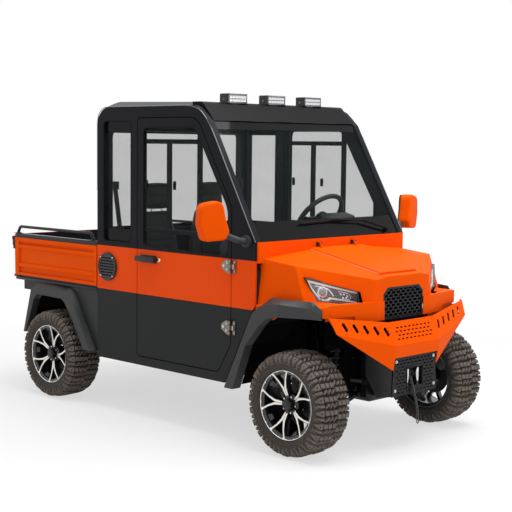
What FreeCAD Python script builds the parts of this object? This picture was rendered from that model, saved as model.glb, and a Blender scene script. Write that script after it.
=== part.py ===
import FreeCAD, Part
import math
import os

# Enclosed two seat utility side by side with a tipping cargo bed.
# Millimetres. X points forward, Y to the left, Z up. The origin is on the ground
# below the middle of the overall length and width.

V = FreeCAD.Vector

# Reach ahead and behind, clearances and walls
front_reach = 1512.0
rear_reach = 1512.0
body_half = 663.0
side_wall = 45.0
gap = 6.0
seat_gap = 0.3
far = 2000.0
tail_x = -rear_reach

# Wheels
front_overhang = 346.0
rear_overhang = 503.0
front_axle_x = front_reach - front_overhang
rear_axle_x = tail_x + rear_overhang
tyre_radius = 292.0
tyre_width = 250.0
tread_radius = 280.0
lug_count = 19
carcass_sides = lug_count
lug_width = 42.0
lug_lean = 18.0
wheel_y = 617.0
bead_radius = 178.0
flange_radius = 194.0
rim_half = 103.0
hub_radius = 38.0
stub_radius = 20.0
spoke_count = 5
kingpin_y = 520.0
kingpin_radius = 8.0
arm_rise = 142.0
axle_z = tyre_radius

# Cab
cab_rear_x = rear_axle_x + 452
cowl_x = front_axle_x - 300
cowl_z = 1156.0
sill_z = 330.0
split_z = 774.0
belt_z = 1052.0
pillar_top_x = cowl_x - 386
pillar_top_z = 1828.0
roof_seam_z = pillar_top_z - 28
roof_side_z = pillar_top_z + 96
roof_rise = 23.0
roof_top_z = roof_side_z + roof_rise
roof_seam_x = pillar_top_x - 190
floor_z = 350.0
floor_thick = 12.0
bulkhead_x = cowl_x - 16
wall_rear = 35.0
pane_half = body_half - side_wall - seat_gap

# Roof lamps
lamp_x = pillar_top_x - 140
lamp_y = (-333.0, 0.0, 333.0)
lamp_half = 77.0
lamp_height = 54.0
lamp_fins = 5

# Doors
door_rear_x = cab_rear_x + 399
door_front_x = cowl_x - 194
door_low_z = sill_z + 59
door_top_z = pillar_top_z + 23
door_thick = 31.0
door_frame = 52.0
door_post_x = door_front_x - 306
hinge_x = door_front_x + 10
hinge_y = body_half + 21
hinge_z = (658.0, 1009.0)
hinge_radius = 10.0
hinge_pin_radius = 4.0
hinge_half = 38.0
handle_z = 997.5
glass_thick = 5.0

# Cargo bed
bed_front_x = cab_rear_x - 11
bed_half = 658.0
bed_low_z = 770.0
bed_top_z = 1069.0
bed_wall = 24.0
bed_floor_z = bed_low_z + 36
bed_rib_z = (986.0, 856.0)
tailgate_thick = 28.0
bed_rear_x = tail_x + tailgate_thick + gap
gate_pivot_z = bed_low_z + 8
gate_pivot_x = tail_x + 17
gate_pin_radius = 5.0

# Nose
nose_front_x = front_reach - 116
nose_wall = 5.0
shoulder_x = front_axle_x - 44
wrap_x = front_axle_x - 74
crest_y = body_half - 57
fender_half = body_half - 8
lamp_lean = 108.0
fender_low_z = 735.0
ledge_top_z = 812.0
bonnet_rear_half = 236.0
bonnet_front_half = 168.0
bonnet_rear_x = cowl_x + 26
bonnet_front_x = nose_front_x - 40
bonnet_hinge_x = cowl_x + 23
bonnet_hinge_y = 154.0
bonnet_hinge_z = cowl_z - 28

# Suspension
low_arm_z = 305.0
low_arm_spread = 110.0
low_arm_radius = 13.0
high_arm_z = 387.0
high_arm_spread = 158.0
high_arm_radius = 11.0
damper_shift_x = 39.0

# Frame
rail_y = 210.0
rail_z = 330.0
rail_size = 50.0
rail_front_x = front_reach - 182
frame_rear_x = tail_x + 72
frame_tube = 40.0
tower_inner_y = 270.0
tower_outer_y = 286.0
tower_top_z = 715.0
drive_half = 118.0
rear_cross_z = 680.0
rear_cross_half = 505.0
hitch_radius = 12.7
hitch_x = tail_x + 34
hitch_z = 318.0
bed_pivot_x = frame_rear_x + 20
bed_pivot_z = 738.0
bed_pivot_y = 300.0
bed_pin_radius = 10.0

# Bumper and winch
bumper_plate = 6.0
winch_plate_x = front_reach - 24
winch_x = rail_front_x + 60
winch_z = 405.0
drum_radius = 30.0
fairlead_half = 74.0
fairlead_low = 345.0
fairlead_high = 472.0
roller_x = winch_plate_x - 21
strap_radius = 7.0

# Arch mouldings
flare_outer_y = body_half + 57
rear_flare_outer_y = body_half + 39
side_panel_y = body_half - 15
arch_inner_y = 400.0
front_root_y = fender_half + seat_gap
rear_root_y = side_panel_y + seat_gap

# Inside the cab
seat_y = 240.0
seat_top_z = 640.0
steering_radius = 172.0
column_gap = 56.0
shaft_radius = 10.0

# Mirrors and vents
mirror_arm_radius = 15.0
mirror_foot_z = 1160.0
vent_x = cab_rear_x + 113
vent_z = 920.0
vent_radius = 88.0


def box(x0, x1, y0, y1, z0, z1):
    return Part.makeBox(x1 - x0, y1 - y0, z1 - z0, V(x0, y0, z0))


def mirrored(shape):
    return shape.mirror(V(0, 0, 0), V(0, 1, 0))


def sides(shape, side):
    """Shapes are drawn on the left, at +Y, and mirrored for the right."""
    if side > 0:
        return shape
    return mirrored(shape)


def both(shape):
    return [shape, mirrored(shape)]


def outline(corners, place):
    """Closed wire through corners (a, b) or (a, b, radius), in the plane that place gives."""
    count = len(corners)
    leave = []
    arrive = []
    arcs = []
    for i in range(count):
        here = V(corners[i][0], corners[i][1], 0)
        before = V(corners[i - 1][0], corners[i - 1][1], 0)
        after = V(corners[(i + 1) % count][0], corners[(i + 1) % count][1], 0)
        radius = corners[i][2] if len(corners[i]) > 2 else 0
        if radius == 0:
            arrive.append(here)
            leave.append(here)
            arcs.append(None)
            continue
        back = (before - here).normalize()
        ahead = (after - here).normalize()
        half = back.getAngle(ahead) / 2
        reach = radius / math.tan(half)
        bisector = (back + ahead).normalize()
        centre = here + bisector * (radius / math.sin(half))
        arrive.append(here + back * reach)
        leave.append(here + ahead * reach)
        arcs.append(centre - bisector * radius)
    edges = []
    for i in range(count):
        if arcs[i] is not None:
            ends = [place(p.x, p.y) for p in (arrive[i], arcs[i], leave[i])]
            edges.append(Part.Arc(*ends).toShape())
        following = arrive[(i + 1) % count]
        if (following - leave[i]).Length > 0.001:
            edges.append(Part.makeLine(place(leave[i].x, leave[i].y), place(following.x, following.y)))
    return Part.Wire(edges)


def plate_y(corners, y0, y1):
    """Outline in X and Z, as thick as y0 to y1."""
    face = Part.Face(outline(corners, lambda a, b: V(a, y0, b)))
    return face.extrude(V(0, y1 - y0, 0))


def plate_x(corners, x0, x1):
    """Outline in Y and Z, as thick as x0 to x1."""
    face = Part.Face(outline(corners, lambda a, b: V(x0, a, b)))
    return face.extrude(V(x1 - x0, 0, 0))


def plate_z(corners, z0, z1):
    """Outline in X and Y, as thick as z0 to z1."""
    face = Part.Face(outline(corners, lambda a, b: V(a, b, z0)))
    return face.extrude(V(0, 0, z1 - z0))


def rectangle(a0, a1, b0, b1, radius=0):
    return [(a0, b0, radius), (a1, b0, radius), (a1, b1, radius), (a0, b1, radius)]


def cylinder(start, end, radius):
    along = end - start
    return Part.makeCylinder(radius, along.Length, start, along)


def tube(points, radius, bend):
    """Round bar along straight runs joined by tangent arcs of radius bend."""
    edges = []
    start = points[0]
    for i in range(1, len(points) - 1):
        back = (points[i - 1] - points[i]).normalize()
        ahead = (points[i + 1] - points[i]).normalize()
        half = back.getAngle(ahead) / 2
        reach = bend / math.tan(half)
        bisector = (back + ahead).normalize()
        centre = points[i] + bisector * (bend / math.sin(half))
        first = points[i] + back * reach
        last = points[i] + ahead * reach
        edges.append(Part.makeLine(start, first))
        edges.append(Part.Arc(first, centre - bisector * bend, last).toShape())
        start = last
    edges.append(Part.makeLine(start, points[-1]))
    path = Part.Wire(edges)
    ring = Part.Wire(Part.makeCircle(radius, points[0], points[1] - points[0]))
    return path.makePipeShell([ring], True, False)


def loft(sections):
    """Flat sided solid between polygons with the same number of corners."""
    wires = [Part.makePolygon(points + [points[0]]) for points in sections]
    return Part.makeLoft(wires, True, True)


def prism(points, along):
    return Part.Face(Part.makePolygon(points + [points[0]])).extrude(along)


def fused(shapes):
    return shapes[0].multiFuse(shapes[1:]).removeSplitter()


def save(name, shapes):
    shape = Part.makeCompound(shapes) if len(shapes) > 1 else shapes[0]
    shape.exportStep("parts/" + name + ".step")


def inset(corners, amount):
    """Corners of a convex outline, drawn anticlockwise, moved inward by amount."""
    count = len(corners)
    moved = []
    for i in range(count):
        here = V(corners[i][0], corners[i][1], 0)
        before = V(corners[i - 1][0], corners[i - 1][1], 0)
        after = V(corners[(i + 1) % count][0], corners[(i + 1) % count][1], 0)
        into = (here - before).normalize()
        out = (after - here).normalize()
        normal_in = V(-into.y, into.x, 0)
        normal_out = V(-out.y, out.x, 0)
        middle = (normal_in + normal_out).normalize()
        step = amount / middle.dot(normal_in)
        point = here + middle * step
        radius = corners[i][2] if len(corners[i]) > 2 else 0
        moved.append((point.x, point.y, max(radius - amount, 0)))
    return moved


# Outlines shared by the pieces that meet along them, drawn anticlockwise as (x, z, radius)
cab_outline = [
    (cab_rear_x, sill_z, 20),
    (cowl_x - 241, sill_z, 0),
    (cowl_x - 26, 760, 0),
    (cowl_x, 800, 0),
    (cowl_x, cowl_z, 0),
    (pillar_top_x, pillar_top_z, 0),
    (pillar_top_x - 108, roof_side_z, 90),
    (cab_rear_x, roof_side_z, 120),
]
pillar_width = 86.0
pillar_slope = (pillar_top_x - cowl_x) / (pillar_top_z - cowl_z)
door_corner_z = cowl_z + (door_front_x + pillar_width - cowl_x) / pillar_slope
door_outline = [
    (door_rear_x, door_low_z, 12),
    (door_front_x - 103, door_low_z, 40),
    (door_front_x, door_low_z + 168, 40),
    (door_front_x, door_corner_z, 30),
    (pillar_top_x + (door_top_z - pillar_top_z) * pillar_slope - pillar_width, door_top_z, 110),
    (door_rear_x, door_top_z, 25),
]
door_window = [
    (door_rear_x + door_frame, belt_z + 24, 22),
    (door_front_x - door_frame / 2, belt_z + 8, 12),
    (door_front_x - door_frame / 2, door_corner_z - 9, 20),
    (door_post_x - 4, door_top_z - door_frame - 1, 90),
    (door_rear_x + door_frame, door_top_z - door_frame - 1, 30),
]
quarter_window = rectangle(cab_rear_x + 62, door_rear_x - 64, belt_z + 30, pillar_top_z + 10, 22)
rear_window = rectangle(-(body_half - 100), body_half - 100, belt_z + 88, pillar_top_z - 51, 40)


def cab_side():
    """One wall of the cab: pillars, roof side and sill round the door opening and quarter window."""
    outer = plate_y(cab_outline, body_half - side_wall, body_half)
    stop = plate_y(inset(door_outline, 14), 0, body_half + 50)
    opening = plate_y(inset(door_outline, -gap), body_half - door_thick - gap, body_half + 50)
    window = plate_y(quarter_window, 0, body_half + 50)
    groove = box(cab_rear_x - 5, cowl_x + 5, body_half - 2, body_half + 5, split_z - 2, split_z + 2)
    return outer.cut(fused([stop, opening])).cut(window).cut(groove)


def quarter_glass():
    inner = body_half - side_wall + 21
    return plate_y(inset(quarter_window, seat_gap), inner, inner + glass_thick)


def rear_glass():
    inner = cab_rear_x + 14
    return plate_x(inset(rear_window, seat_gap), inner, inner + glass_thick)


def rear_wall():
    wall = box(cab_rear_x, cab_rear_x + wall_rear, -pane_half, pane_half, sill_z + 40, roof_seam_z)
    return wall.cut(plate_x(rear_window, cab_rear_x - 10, cab_rear_x + wall_rear + 10))


def roof_panel():
    """Roof cap, highest near the back, that turns down to the rear wall, with bevelled long edges."""
    under_z = roof_side_z - 19
    profile = [
        (cab_rear_x, roof_seam_z + seat_gap, 0),
        (cab_rear_x + wall_rear, roof_seam_z + seat_gap, 0),
        (cab_rear_x + wall_rear, under_z, 70),
        (roof_seam_x, under_z, 0),
        (roof_seam_x, roof_top_z, 0),
        (cab_rear_x + 75, roof_top_z + 13, 50),
        (cab_rear_x, roof_top_z - 50, 40),
    ]
    cap = plate_y(profile, -pane_half, pane_half)
    for side in (1, -1):
        low = V(cab_rear_x - far, side * (pane_half + 1), roof_side_z)
        inner = V(cab_rear_x - far, side * (pane_half - 80), roof_side_z + 41)
        high = V(cab_rear_x - far, side * (pane_half + 1), roof_side_z + 82)
        cap = cap.cut(prism([low, inner, high], V(2 * far, 0, 0)))
    return cap


def roof_visor():
    """Front moulding above the windscreen, with a pad for each lamp."""
    low_z = pillar_top_z + 10
    front = pillar_line(low_z)
    profile = [
        (roof_seam_x + seat_gap, roof_side_z - 19, 0),
        (roof_seam_x + 40, roof_side_z - 44, 20),
        (front - 50, low_z, 0),
        (front, low_z, 0),
        (pillar_top_x - 108, roof_top_z, 40),
        (roof_seam_x + seat_gap, roof_top_z, 0),
    ]
    visor = plate_y(profile, -pane_half, pane_half)
    pad_z = roof_top_z - 11
    for y in lamp_y:
        y0 = y - lamp_half - 5
        y1 = y + lamp_half + 5
        visor = visor.cut(box(lamp_x - 40, lamp_x + 110, y0, y1, pad_z, pad_z + 31))
        visor = visor.fuse(box(lamp_x - 40, lamp_x + 40, y0, y1, pad_z - 14, pad_z))
    return visor.removeSplitter()


def pillar_line(z):
    """X of the front edge of the windscreen pillar at a height."""
    share = (z - cowl_z) / (pillar_top_z - cowl_z)
    return cowl_x + share * (pillar_top_x - cowl_x)


def windscreen():
    low = cowl_z + 4
    high = pillar_top_z + 4
    lean = V(pillar_line(high) - pillar_line(low), 0, high - low).normalize()
    normal = V(lean.z, 0, -lean.x)
    back = normal * -6.0
    corner = [V(pillar_line(low), -pane_half, low), V(pillar_line(low), pane_half, low)]
    corner += [V(pillar_line(high), pane_half, high), V(pillar_line(high), -pane_half, high)]
    return prism([p + back for p in corner], back)


def roof_lamps():
    """Three lamp pods, each a finned housing with a raised lens frame, on a foot."""
    pods = []
    low_z = roof_top_z - 3
    high_z = roof_top_z + lamp_height
    for y in lamp_y:
        y0 = y - lamp_half
        y1 = y + lamp_half
        body = box(lamp_x - 38, lamp_x + 26, y0, y1, low_z, high_z)
        body = body.makeFillet(8, [e for e in body.Edges if abs(e.tangentAt(e.FirstParameter).y) > 0.9])
        frame = box(lamp_x + 20, lamp_x + 38, y0, y1, low_z, high_z)
        lens = box(lamp_x + 32, lamp_x + 40, y0 + 7, y1 - 7, low_z + 8, high_z - 8)
        foot = box(lamp_x - 22, lamp_x + 14, y - 30, y + 30, roof_top_z - 11 + seat_gap, low_z + 1)
        pod = fused([body, frame, foot]).cut(lens)
        pitch = (2 * lamp_half - 24) / lamp_fins
        for k in range(lamp_fins):
            slot_y = y0 + 17 + k * pitch
            pod = pod.cut(box(lamp_x - 45, lamp_x - 12, slot_y, slot_y + 12, low_z + 15, high_z + 9))
        pods.append(pod)
    return pods


def roof_lamp_lenses():
    lenses = []
    low_z = roof_top_z + 5 + seat_gap
    high_z = roof_top_z + lamp_height - 8 - seat_gap
    reach = lamp_half - 7 - seat_gap
    for y in lamp_y:
        lenses.append(box(lamp_x + 32 + seat_gap, lamp_x + 36, y - reach, y + reach, low_z, high_z))
    return lenses


def door_shell():
    """Door as thick as the real one, with its window cut and the bars of the sliding pane."""
    inner = body_half - door_thick
    shell = plate_y(door_outline, inner, body_half)
    shell = shell.cut(plate_y(door_window, inner - 10, body_half + 10))
    shell = shell.cut(plate_y(inset(door_window, -10), inner + 18, body_half - 7))
    for z in (split_z, belt_z):
        shell = shell.cut(box(door_rear_x - 5, door_front_x + 5, body_half - 2, body_half + 5, z - 2, z + 2))
    low = inner + 2
    high = inner + 16
    start_x = door_rear_x + door_frame - 2
    end_x = door_post_x + 10
    bar_low = belt_z + 108
    bar_high = door_top_z - 125
    bars = [box(start_x, end_x, low, high, z, z + 28) for z in (bar_low, bar_high - 28)]
    middle = (start_x + end_x) / 2 - 20
    bars.append(box(middle - 17, middle + 17, low, high, bar_low, bar_high))
    post_low = belt_z + 8
    post_high = door_top_z - door_frame - 1
    post = plate_y([(door_post_x, post_low, 0), (door_post_x + 34, post_low, 0),
                    (door_post_x + 34, post_high - 38, 0), (door_post_x, post_high, 0)], low, high)
    return shell.multiFuse(bars + [post]).removeSplitter()


def door_glass():
    inner = body_half - door_thick
    pane = plate_y(inset(door_window, -9.5), inner + 18 + seat_gap, inner + 18 + seat_gap + glass_thick)
    return pane


def door_handle():
    """Pull bar on two feet."""
    base = body_half + seat_gap
    start = door_rear_x + 18
    end = start + 174
    bar = box(start, end, base + 22, base + 36, handle_z - 15.5, handle_z + 15.5)
    bar = bar.makeFillet(5, bar.Edges)
    feet = [box(x, x + 24, base, base + 26, handle_z - 9.5, handle_z + 9.5) for x in (start + 4, end - 30)]
    return fused([bar] + feet)


def hinge_leaf(z, x0, x1, x2):
    """Tapered leaf that ends at the hinge barrel."""
    half = hinge_half
    corners = [(x0, z - 14, 6), (x1, z - half, 6), (x2, z - half, 0), (x2, z + half, 0), (x1, z + half, 6),
               (x0, z + 14, 6)]
    return plate_y(corners, body_half + seat_gap, body_half + seat_gap + 6)


def door_hinges():
    """Door half of each hinge: leaf and the two outer knuckles."""
    pieces = []
    leaf_y = body_half + seat_gap + 6
    for z in hinge_z:
        leaf = hinge_leaf(z, hinge_x - 80, hinge_x - 42, hinge_x - 14)
        for level in (-hinge_half, hinge_half - 18):
            knuckle = Part.makeCylinder(hinge_radius, 18, V(hinge_x, hinge_y, z + level))
            web = box(hinge_x - 27, hinge_x, leaf_y, hinge_y - 3, z + level, z + level + 18)
            knuckle = knuckle.fuse(web)
            bore = Part.makeCylinder(hinge_pin_radius + 0.05, 100, V(hinge_x, hinge_y, z - 50))
            knuckle = knuckle.cut(bore)
            leaf = leaf.fuse(knuckle)
        pieces.append(leaf.removeSplitter())
    return pieces


def hinge_brackets():
    """Body half of each hinge: plate on the pillar, middle knuckle and pin."""
    pieces = []
    leaf_y = body_half + seat_gap + 6
    for z in hinge_z:
        plate = box(hinge_x + 12, hinge_x + 34, body_half + seat_gap, leaf_y, z - 40, z + 40)
        arm = box(hinge_x, hinge_x + 18, leaf_y, hinge_y - 3, z - 13, z + 13)
        knuckle = Part.makeCylinder(hinge_radius, 26, V(hinge_x, hinge_y, z - 13))
        pin = Part.makeCylinder(hinge_pin_radius, 84, V(hinge_x, hinge_y, z - 42))
        pieces.append(fused([plate, arm, knuckle, pin]))
    return pieces


def top_sections(shrink):
    """Cross sections of the nose from the cowl to the front, as half widths and heights."""
    low = fender_low_z - (1 if shrink else 0)
    s = shrink
    cowl = [(body_half - 13 - s, low), (crest_y - s, cowl_z - 90 - s), (200, cowl_z - 52 - s)]
    shoulder = [(body_half - 51 - s, low), (crest_y - s, cowl_z - 115 - s), (190, cowl_z - 110 - s)]
    front = [(262 - s, low), (232 - s, cowl_z - 194 - s), (160, cowl_z - 180 - s)]
    stations = [(cowl_x + seat_gap - s, cowl), (shoulder_x, shoulder), (nose_front_x - s, front)]
    return stations


def nose_solid(shrink):
    sections = []
    for x, half in top_sections(shrink):
        lean = lamp_lean if x == shoulder_x else 0
        crest_z = cowl_z - 115
        left = [V(x + lean * max(0, crest_z - z) / (crest_z - fender_low_z), y, z) for y, z in half]
        right = [V(p.x, -p.y, p.z) for p in reversed(left)]
        sections.append(left + right)
    upper = loft(sections)
    s = shrink
    rear = cowl_x + seat_gap - s
    half_shelf = [(rear, fender_half - s), (wrap_x, fender_half - s)]
    half_shelf.append((nose_front_x - 74 - s, fender_half - 63 - s))
    half_shelf.append((nose_front_x - 50 - s, fender_half - 95 - s))
    half_shelf.append((nose_front_x + 8 - s, 245 - s))
    shelf = [(x, -y) for x, y in half_shelf] + [(x, y) for x, y in reversed(half_shelf)]
    ledge = plate_z(shelf, fender_low_z - (1 if shrink else 0), ledge_top_z + 30 - s)
    for side in (1, -1):
        outer = side * (fender_half + 45)
        inner = side * (fender_half - 155)
        high = ledge_top_z - s
        corners = [V(0, outer, high - 26), V(0, inner, high + 54), V(0, outer, ledge_top_z + 138)]
        ledge = ledge.cut(prism(corners, V(far, 0, 0)))
    return upper.fuse(ledge).removeSplitter()


def bonnet_plan(margin):
    return [
        (bonnet_rear_x - margin, -(bonnet_rear_half + margin), 14),
        (bonnet_front_x + margin, -(bonnet_front_half + margin), 14),
        (bonnet_front_x + margin, bonnet_front_half + margin, 14),
        (bonnet_rear_x - margin, bonnet_rear_half + margin, 14),
    ]


def bonnet_height(x):
    """Height of the nose skin along the middle, under the lid."""
    share = (x - cowl_x) / (nose_front_x - cowl_x)
    return cowl_z - 52 - share * 128


def front_body():
    """One piece nose: fenders, headlamp faces, ledge and cowl, open below and at the arches."""
    skin = nose_solid(0).cut(nose_solid(nose_wall))
    strip = box(cowl_x + seat_gap, cowl_x + 12, -(body_half - 13), body_half - 13, cowl_z - 116, cowl_z)
    skin = skin.fuse(strip)
    seat = plate_z(bonnet_plan(gap + 8), cowl_z - 256, cowl_z + 144).common(above_bonnet(-14, -1))
    recess = plate_z(bonnet_plan(gap), cowl_z - 256, cowl_z + 144).common(above_bonnet(-8, 200))
    skin = skin.fuse(seat).cut(recess).cut(plate_z(bonnet_plan(-18), cowl_z - 256, cowl_z + 144))
    arch = plate_y(front_arch, arch_inner_y, body_half + 137)
    skin = skin.cut(arch).cut(mirrored(arch))
    skin = skin.cut(plate_x(grille_outline, nose_front_x - 30, nose_front_x + 40))
    for side in (1, -1):
        skin = skin.cut(sides(lamp_prism(2), side))
    return skin.removeSplitter()


def above_bonnet(low, high):
    """Slab that follows the nose skin along the middle, from low to high over it."""
    x0 = cowl_x - 40
    x1 = nose_front_x + 10
    corners = [
        (x0, bonnet_height(x0) + low, 0),
        (x1, bonnet_height(x1) + low, 0),
        (x1, bonnet_height(x1) + high, 0),
        (x0, bonnet_height(x0) + high, 0),
    ]
    return plate_y(corners, -body_half, body_half)


def bonnet_lid():
    """Raised centre panel of the bonnet."""
    lid = plate_z(bonnet_plan(0), cowl_z - 256, cowl_z + 144).common(above_bonnet(-8 + seat_gap, 10))
    x = bonnet_hinge_x
    z = bonnet_hinge_z
    lug = [(x - 5, z - 10, 0), (x + 5, z - 16, 0), (x + 8, z - 28, 0), (x + 24, z - 30, 0)]
    lug += [(x + 24, z - 20, 0), (x + 7, z + 8, 3), (x - 5, z + 8, 3)]
    lugs = [plate_y(lug, y - 4, y + 4) for y in (-bonnet_hinge_y, bonnet_hinge_y)]
    eye = cylinder(V(x, -body_half, z), V(x, body_half, z), hinge_pin_radius + 0.05)
    return fused([lid] + lugs).cut(eye)


grille_half = 181.0
grille_low_z = 728.0
grille_top_z = 914.0
grille_outline = [
    (-grille_half + 4, grille_low_z, 10), (grille_half - 4, grille_low_z, 10),
    (grille_half, grille_top_z - 35, 8), (grille_half - 40, grille_top_z, 8),
    (-grille_half + 40, grille_top_z, 8), (-grille_half, grille_top_z - 35, 8),
]


def grille():
    """Honeycomb panel of flattened six sided cells."""
    x0 = nose_front_x - 22
    x1 = nose_front_x - 2
    edge = inset(grille_outline, seat_gap)
    panel = plate_x(edge, x0, x1)
    inside = plate_x(inset(grille_outline, 12), x0 - 5, x1 + 5)
    cells = []
    pitch_y = 44.0
    pitch_z = 21.0
    rows = 10
    columns = 5
    for row in range(rows):
        shift = pitch_y / 2 if row % 2 else 0
        for column in range(-columns, columns + 1):
            y = column * pitch_y + shift
            z = grille_low_z + 10 + row * pitch_z * 0.86
            cell = [(y - 19, z), (y - 11, z - 8), (y + 11, z - 8)]
            cell += [(y + 19, z), (y + 11, z + 8), (y - 11, z + 8)]
            if abs(y) < grille_half + 9:
                cells.append(plate_x(cell, x0 - 5, x1 + 5))
    holes = Part.makeCompound(cells).common(inside)
    return panel.cut(holes)


lamp_corners = [
    V(nose_front_x - 216, body_half - 78, 978), V(nose_front_x - 76, 305, 897),
    V(nose_front_x - 71, 287, 820), V(nose_front_x - 174, body_half - 123, 852),
]


def lamp_prism(grow):
    """Headlamp space: four corners on the slanted lamp face, pushed back into the nose."""
    middle = (lamp_corners[0] + lamp_corners[1] + lamp_corners[2] + lamp_corners[3]) * 0.25
    corners = [p + (p - middle).normalize() * grow for p in lamp_corners]
    along = V(-0.83, -0.56, 0)
    front = [p + along * -60 for p in corners]
    return prism_flat(front, along * 130)


def prism_flat(points, along):
    """Prism on four corners that may not lie in one plane, as two wedges."""
    first = prism([points[0], points[1], points[2]], along)
    second = prism([points[0], points[2], points[3]], along)
    return first.fuse(second)


def headlamp():
    """Lamp body that fills its cut-out, with its face a little inside the fender skin."""
    body = lamp_prism(-1.5).common(nose_solid(3))
    return body.cut(box(cowl_x, front_reach, 0, body_half, ledge_top_z - 112, ledge_top_z + 31))




def from_axle(axle_x, points):
    """Corners given from the axle, as places along the vehicle."""
    return [(axle_x + corner[0],) + corner[1:] for corner in points]


front_arch = from_axle(front_axle_x, [
    (-416, 300, 0), (-306, 590, 60), (-231, 690, 60), (-106, 772, 0), (314, 772, 0), (314, 300, 0),
])
front_flare_body = from_axle(front_axle_x, [
    (-540, 318), (-319, 762), (-274, 797), (-171, 861), (-74, 860), (-74, 766),
])
front_flare_outer = from_axle(front_axle_x, [
    (-485, 318), (-268, 768), (-216, 808), (-114, 835), (-74, 838), (-74, 766),
])
front_flare_inner = from_axle(front_axle_x, [
    (-96, 763), (-156, 748), (-211, 705), (-317, 580), (-416, 318),
])
rear_flare_body = from_axle(rear_axle_x, [
    (437, 360), (297, 560), (209, 712), (159, 748), (-171, 762), (-243, 722), (-329, 405),
])
rear_flare_outer = from_axle(rear_axle_x, [
    (419, 360), (297, 545), (197, 694), (149, 722), (-181, 734), (-231, 706), (-321, 405),
])
rear_flare_inner = from_axle(rear_axle_x, [
    (-296, 405), (-199, 640), (-159, 678), (109, 672), (147, 650), (227, 548), (349, 360),
])


def flare(body_line, outer_line, inner_line, root_y, outer_y):
    """Arch moulding: full width at the body, bevelled to a narrower outer face."""
    root = [V(x, root_y, z) for x, z in body_line + inner_line]
    edge = [V(x, outer_y, z) for x, z in outer_line + inner_line]
    return loft([root, edge])


def front_flare():
    """Front arch moulding, whose forward end wraps in round the fender to the bumper."""
    arch = flare(front_flare_body, front_flare_outer, front_flare_inner, front_root_y, flare_outer_y)
    start = [V(wrap_x, front_root_y, 766), V(wrap_x, flare_outer_y, 766), V(wrap_x, flare_outer_y, 838),
             V(wrap_x, front_root_y, 860)]
    x = nose_front_x - 134
    y = body_half - 54
    bend = [V(x, y, 764), V(x, y + 25, 764), V(x, y + 19, 818), V(x, y, 857)]
    x = nose_front_x - 84
    y = body_half - 67.5
    tip = [V(x, y, 760), V(x, y + 10.5, 760), V(x, y + 8.5, 790), V(x, y, ledge_top_z)]
    return fused([arch, loft([start, bend]), loft([bend, tip])])


def arch_liners():
    """Bent sheets behind each arch, from the flare's root inward over the wheel."""
    sheets = []
    thick = 4.0
    front = from_axle(front_axle_x, [(-406, 340), (-314, 578), (-206, 702), (-104, 762)])
    front.append((nose_front_x - 76, 762))
    rear = from_axle(rear_axle_x, [
        (-291, 560), (-197, 644), (-157, 684), (109, 678), (143, 656), (223, 552), (345, 372),
    ])
    end_x = nose_front_x - 74
    wrap = plate_z([(wrap_x, front_root_y - seat_gap), (end_x, fender_half - 63), (end_x, fender_half + 145),
                    (wrap_x, fender_half + 145)], 700, 800)
    for line, root in ((front, front_root_y), (rear, rear_root_y)):
        moved = [(x, z + thick) for x, z in reversed(line)]
        sheet = plate_y([(x, z, 0) for x, z in line + moved], arch_inner_y, root - seat_gap)
        sheets += both(sheet.cut(wrap))
    return sheets


def rear_side_panel():
    """Grey panel between the cab and the rear arch, below the bed."""
    seam = cab_rear_x - seat_gap
    end = frame_rear_x + 45
    corners = [(seam, sill_z, 0), (seam, 752, 0), (end, 758, 0), (end, 690, 0)]
    corners += from_axle(rear_axle_x, [(-253, 690, 0), (-171, 730, 0), (149, 716, 0), (201, 690, 0)])
    corners += [(rear_axle_x + 294, 548, 0), (cab_rear_x - 35, 352, 0)]
    return plate_y(list(reversed(corners)), side_panel_y - 20, side_panel_y)


def plane_x(point, first, second, third):
    """X of the plane through three points, at the Y and Z of a fourth."""
    normal = (second - first).cross(third - first)
    return first.x - (normal.y * (point[0] - first.y) + normal.z * (point[1] - first.z)) / normal.x


wing_end_y = body_half - 58
apron_half = 197.0
wing_top = V(front_reach - 140, wing_end_y, 780)
kink_top = V(front_reach - 56, apron_half + 4, 729)
crease = V(front_reach, apron_half, 603)
wing_low_yz = (wing_end_y - 19, 695)
wing_low = V(plane_x(wing_low_yz, wing_top, kink_top, crease), *wing_low_yz)
tip = V(front_reach - 22, apron_half, 462)
plate_top = V(front_reach - 13, apron_half, 532)
rear_tip = V(front_reach - 155, wing_end_y + 2, 784)


def slanted_slot(y, z, width, height, lean):
    """Oval cutter through the bumper, leaning sideways by lean."""
    half = width / 2
    reach = height / 2 - half
    depth = 260.0
    foot = V(rear_tip.x - 57, y - lean / 2, z - reach)
    head = V(rear_tip.x - 57, y + lean / 2, z + reach)
    along = V(depth, 0, 0)
    ends = [Part.makeCylinder(half, depth, p, V(1, 0, 0)) for p in (foot, head)]
    side = V(0, half, 0)
    middle = prism([foot - side, foot + side, head + side, head - side], along)
    return fused(ends + [middle])


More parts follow.
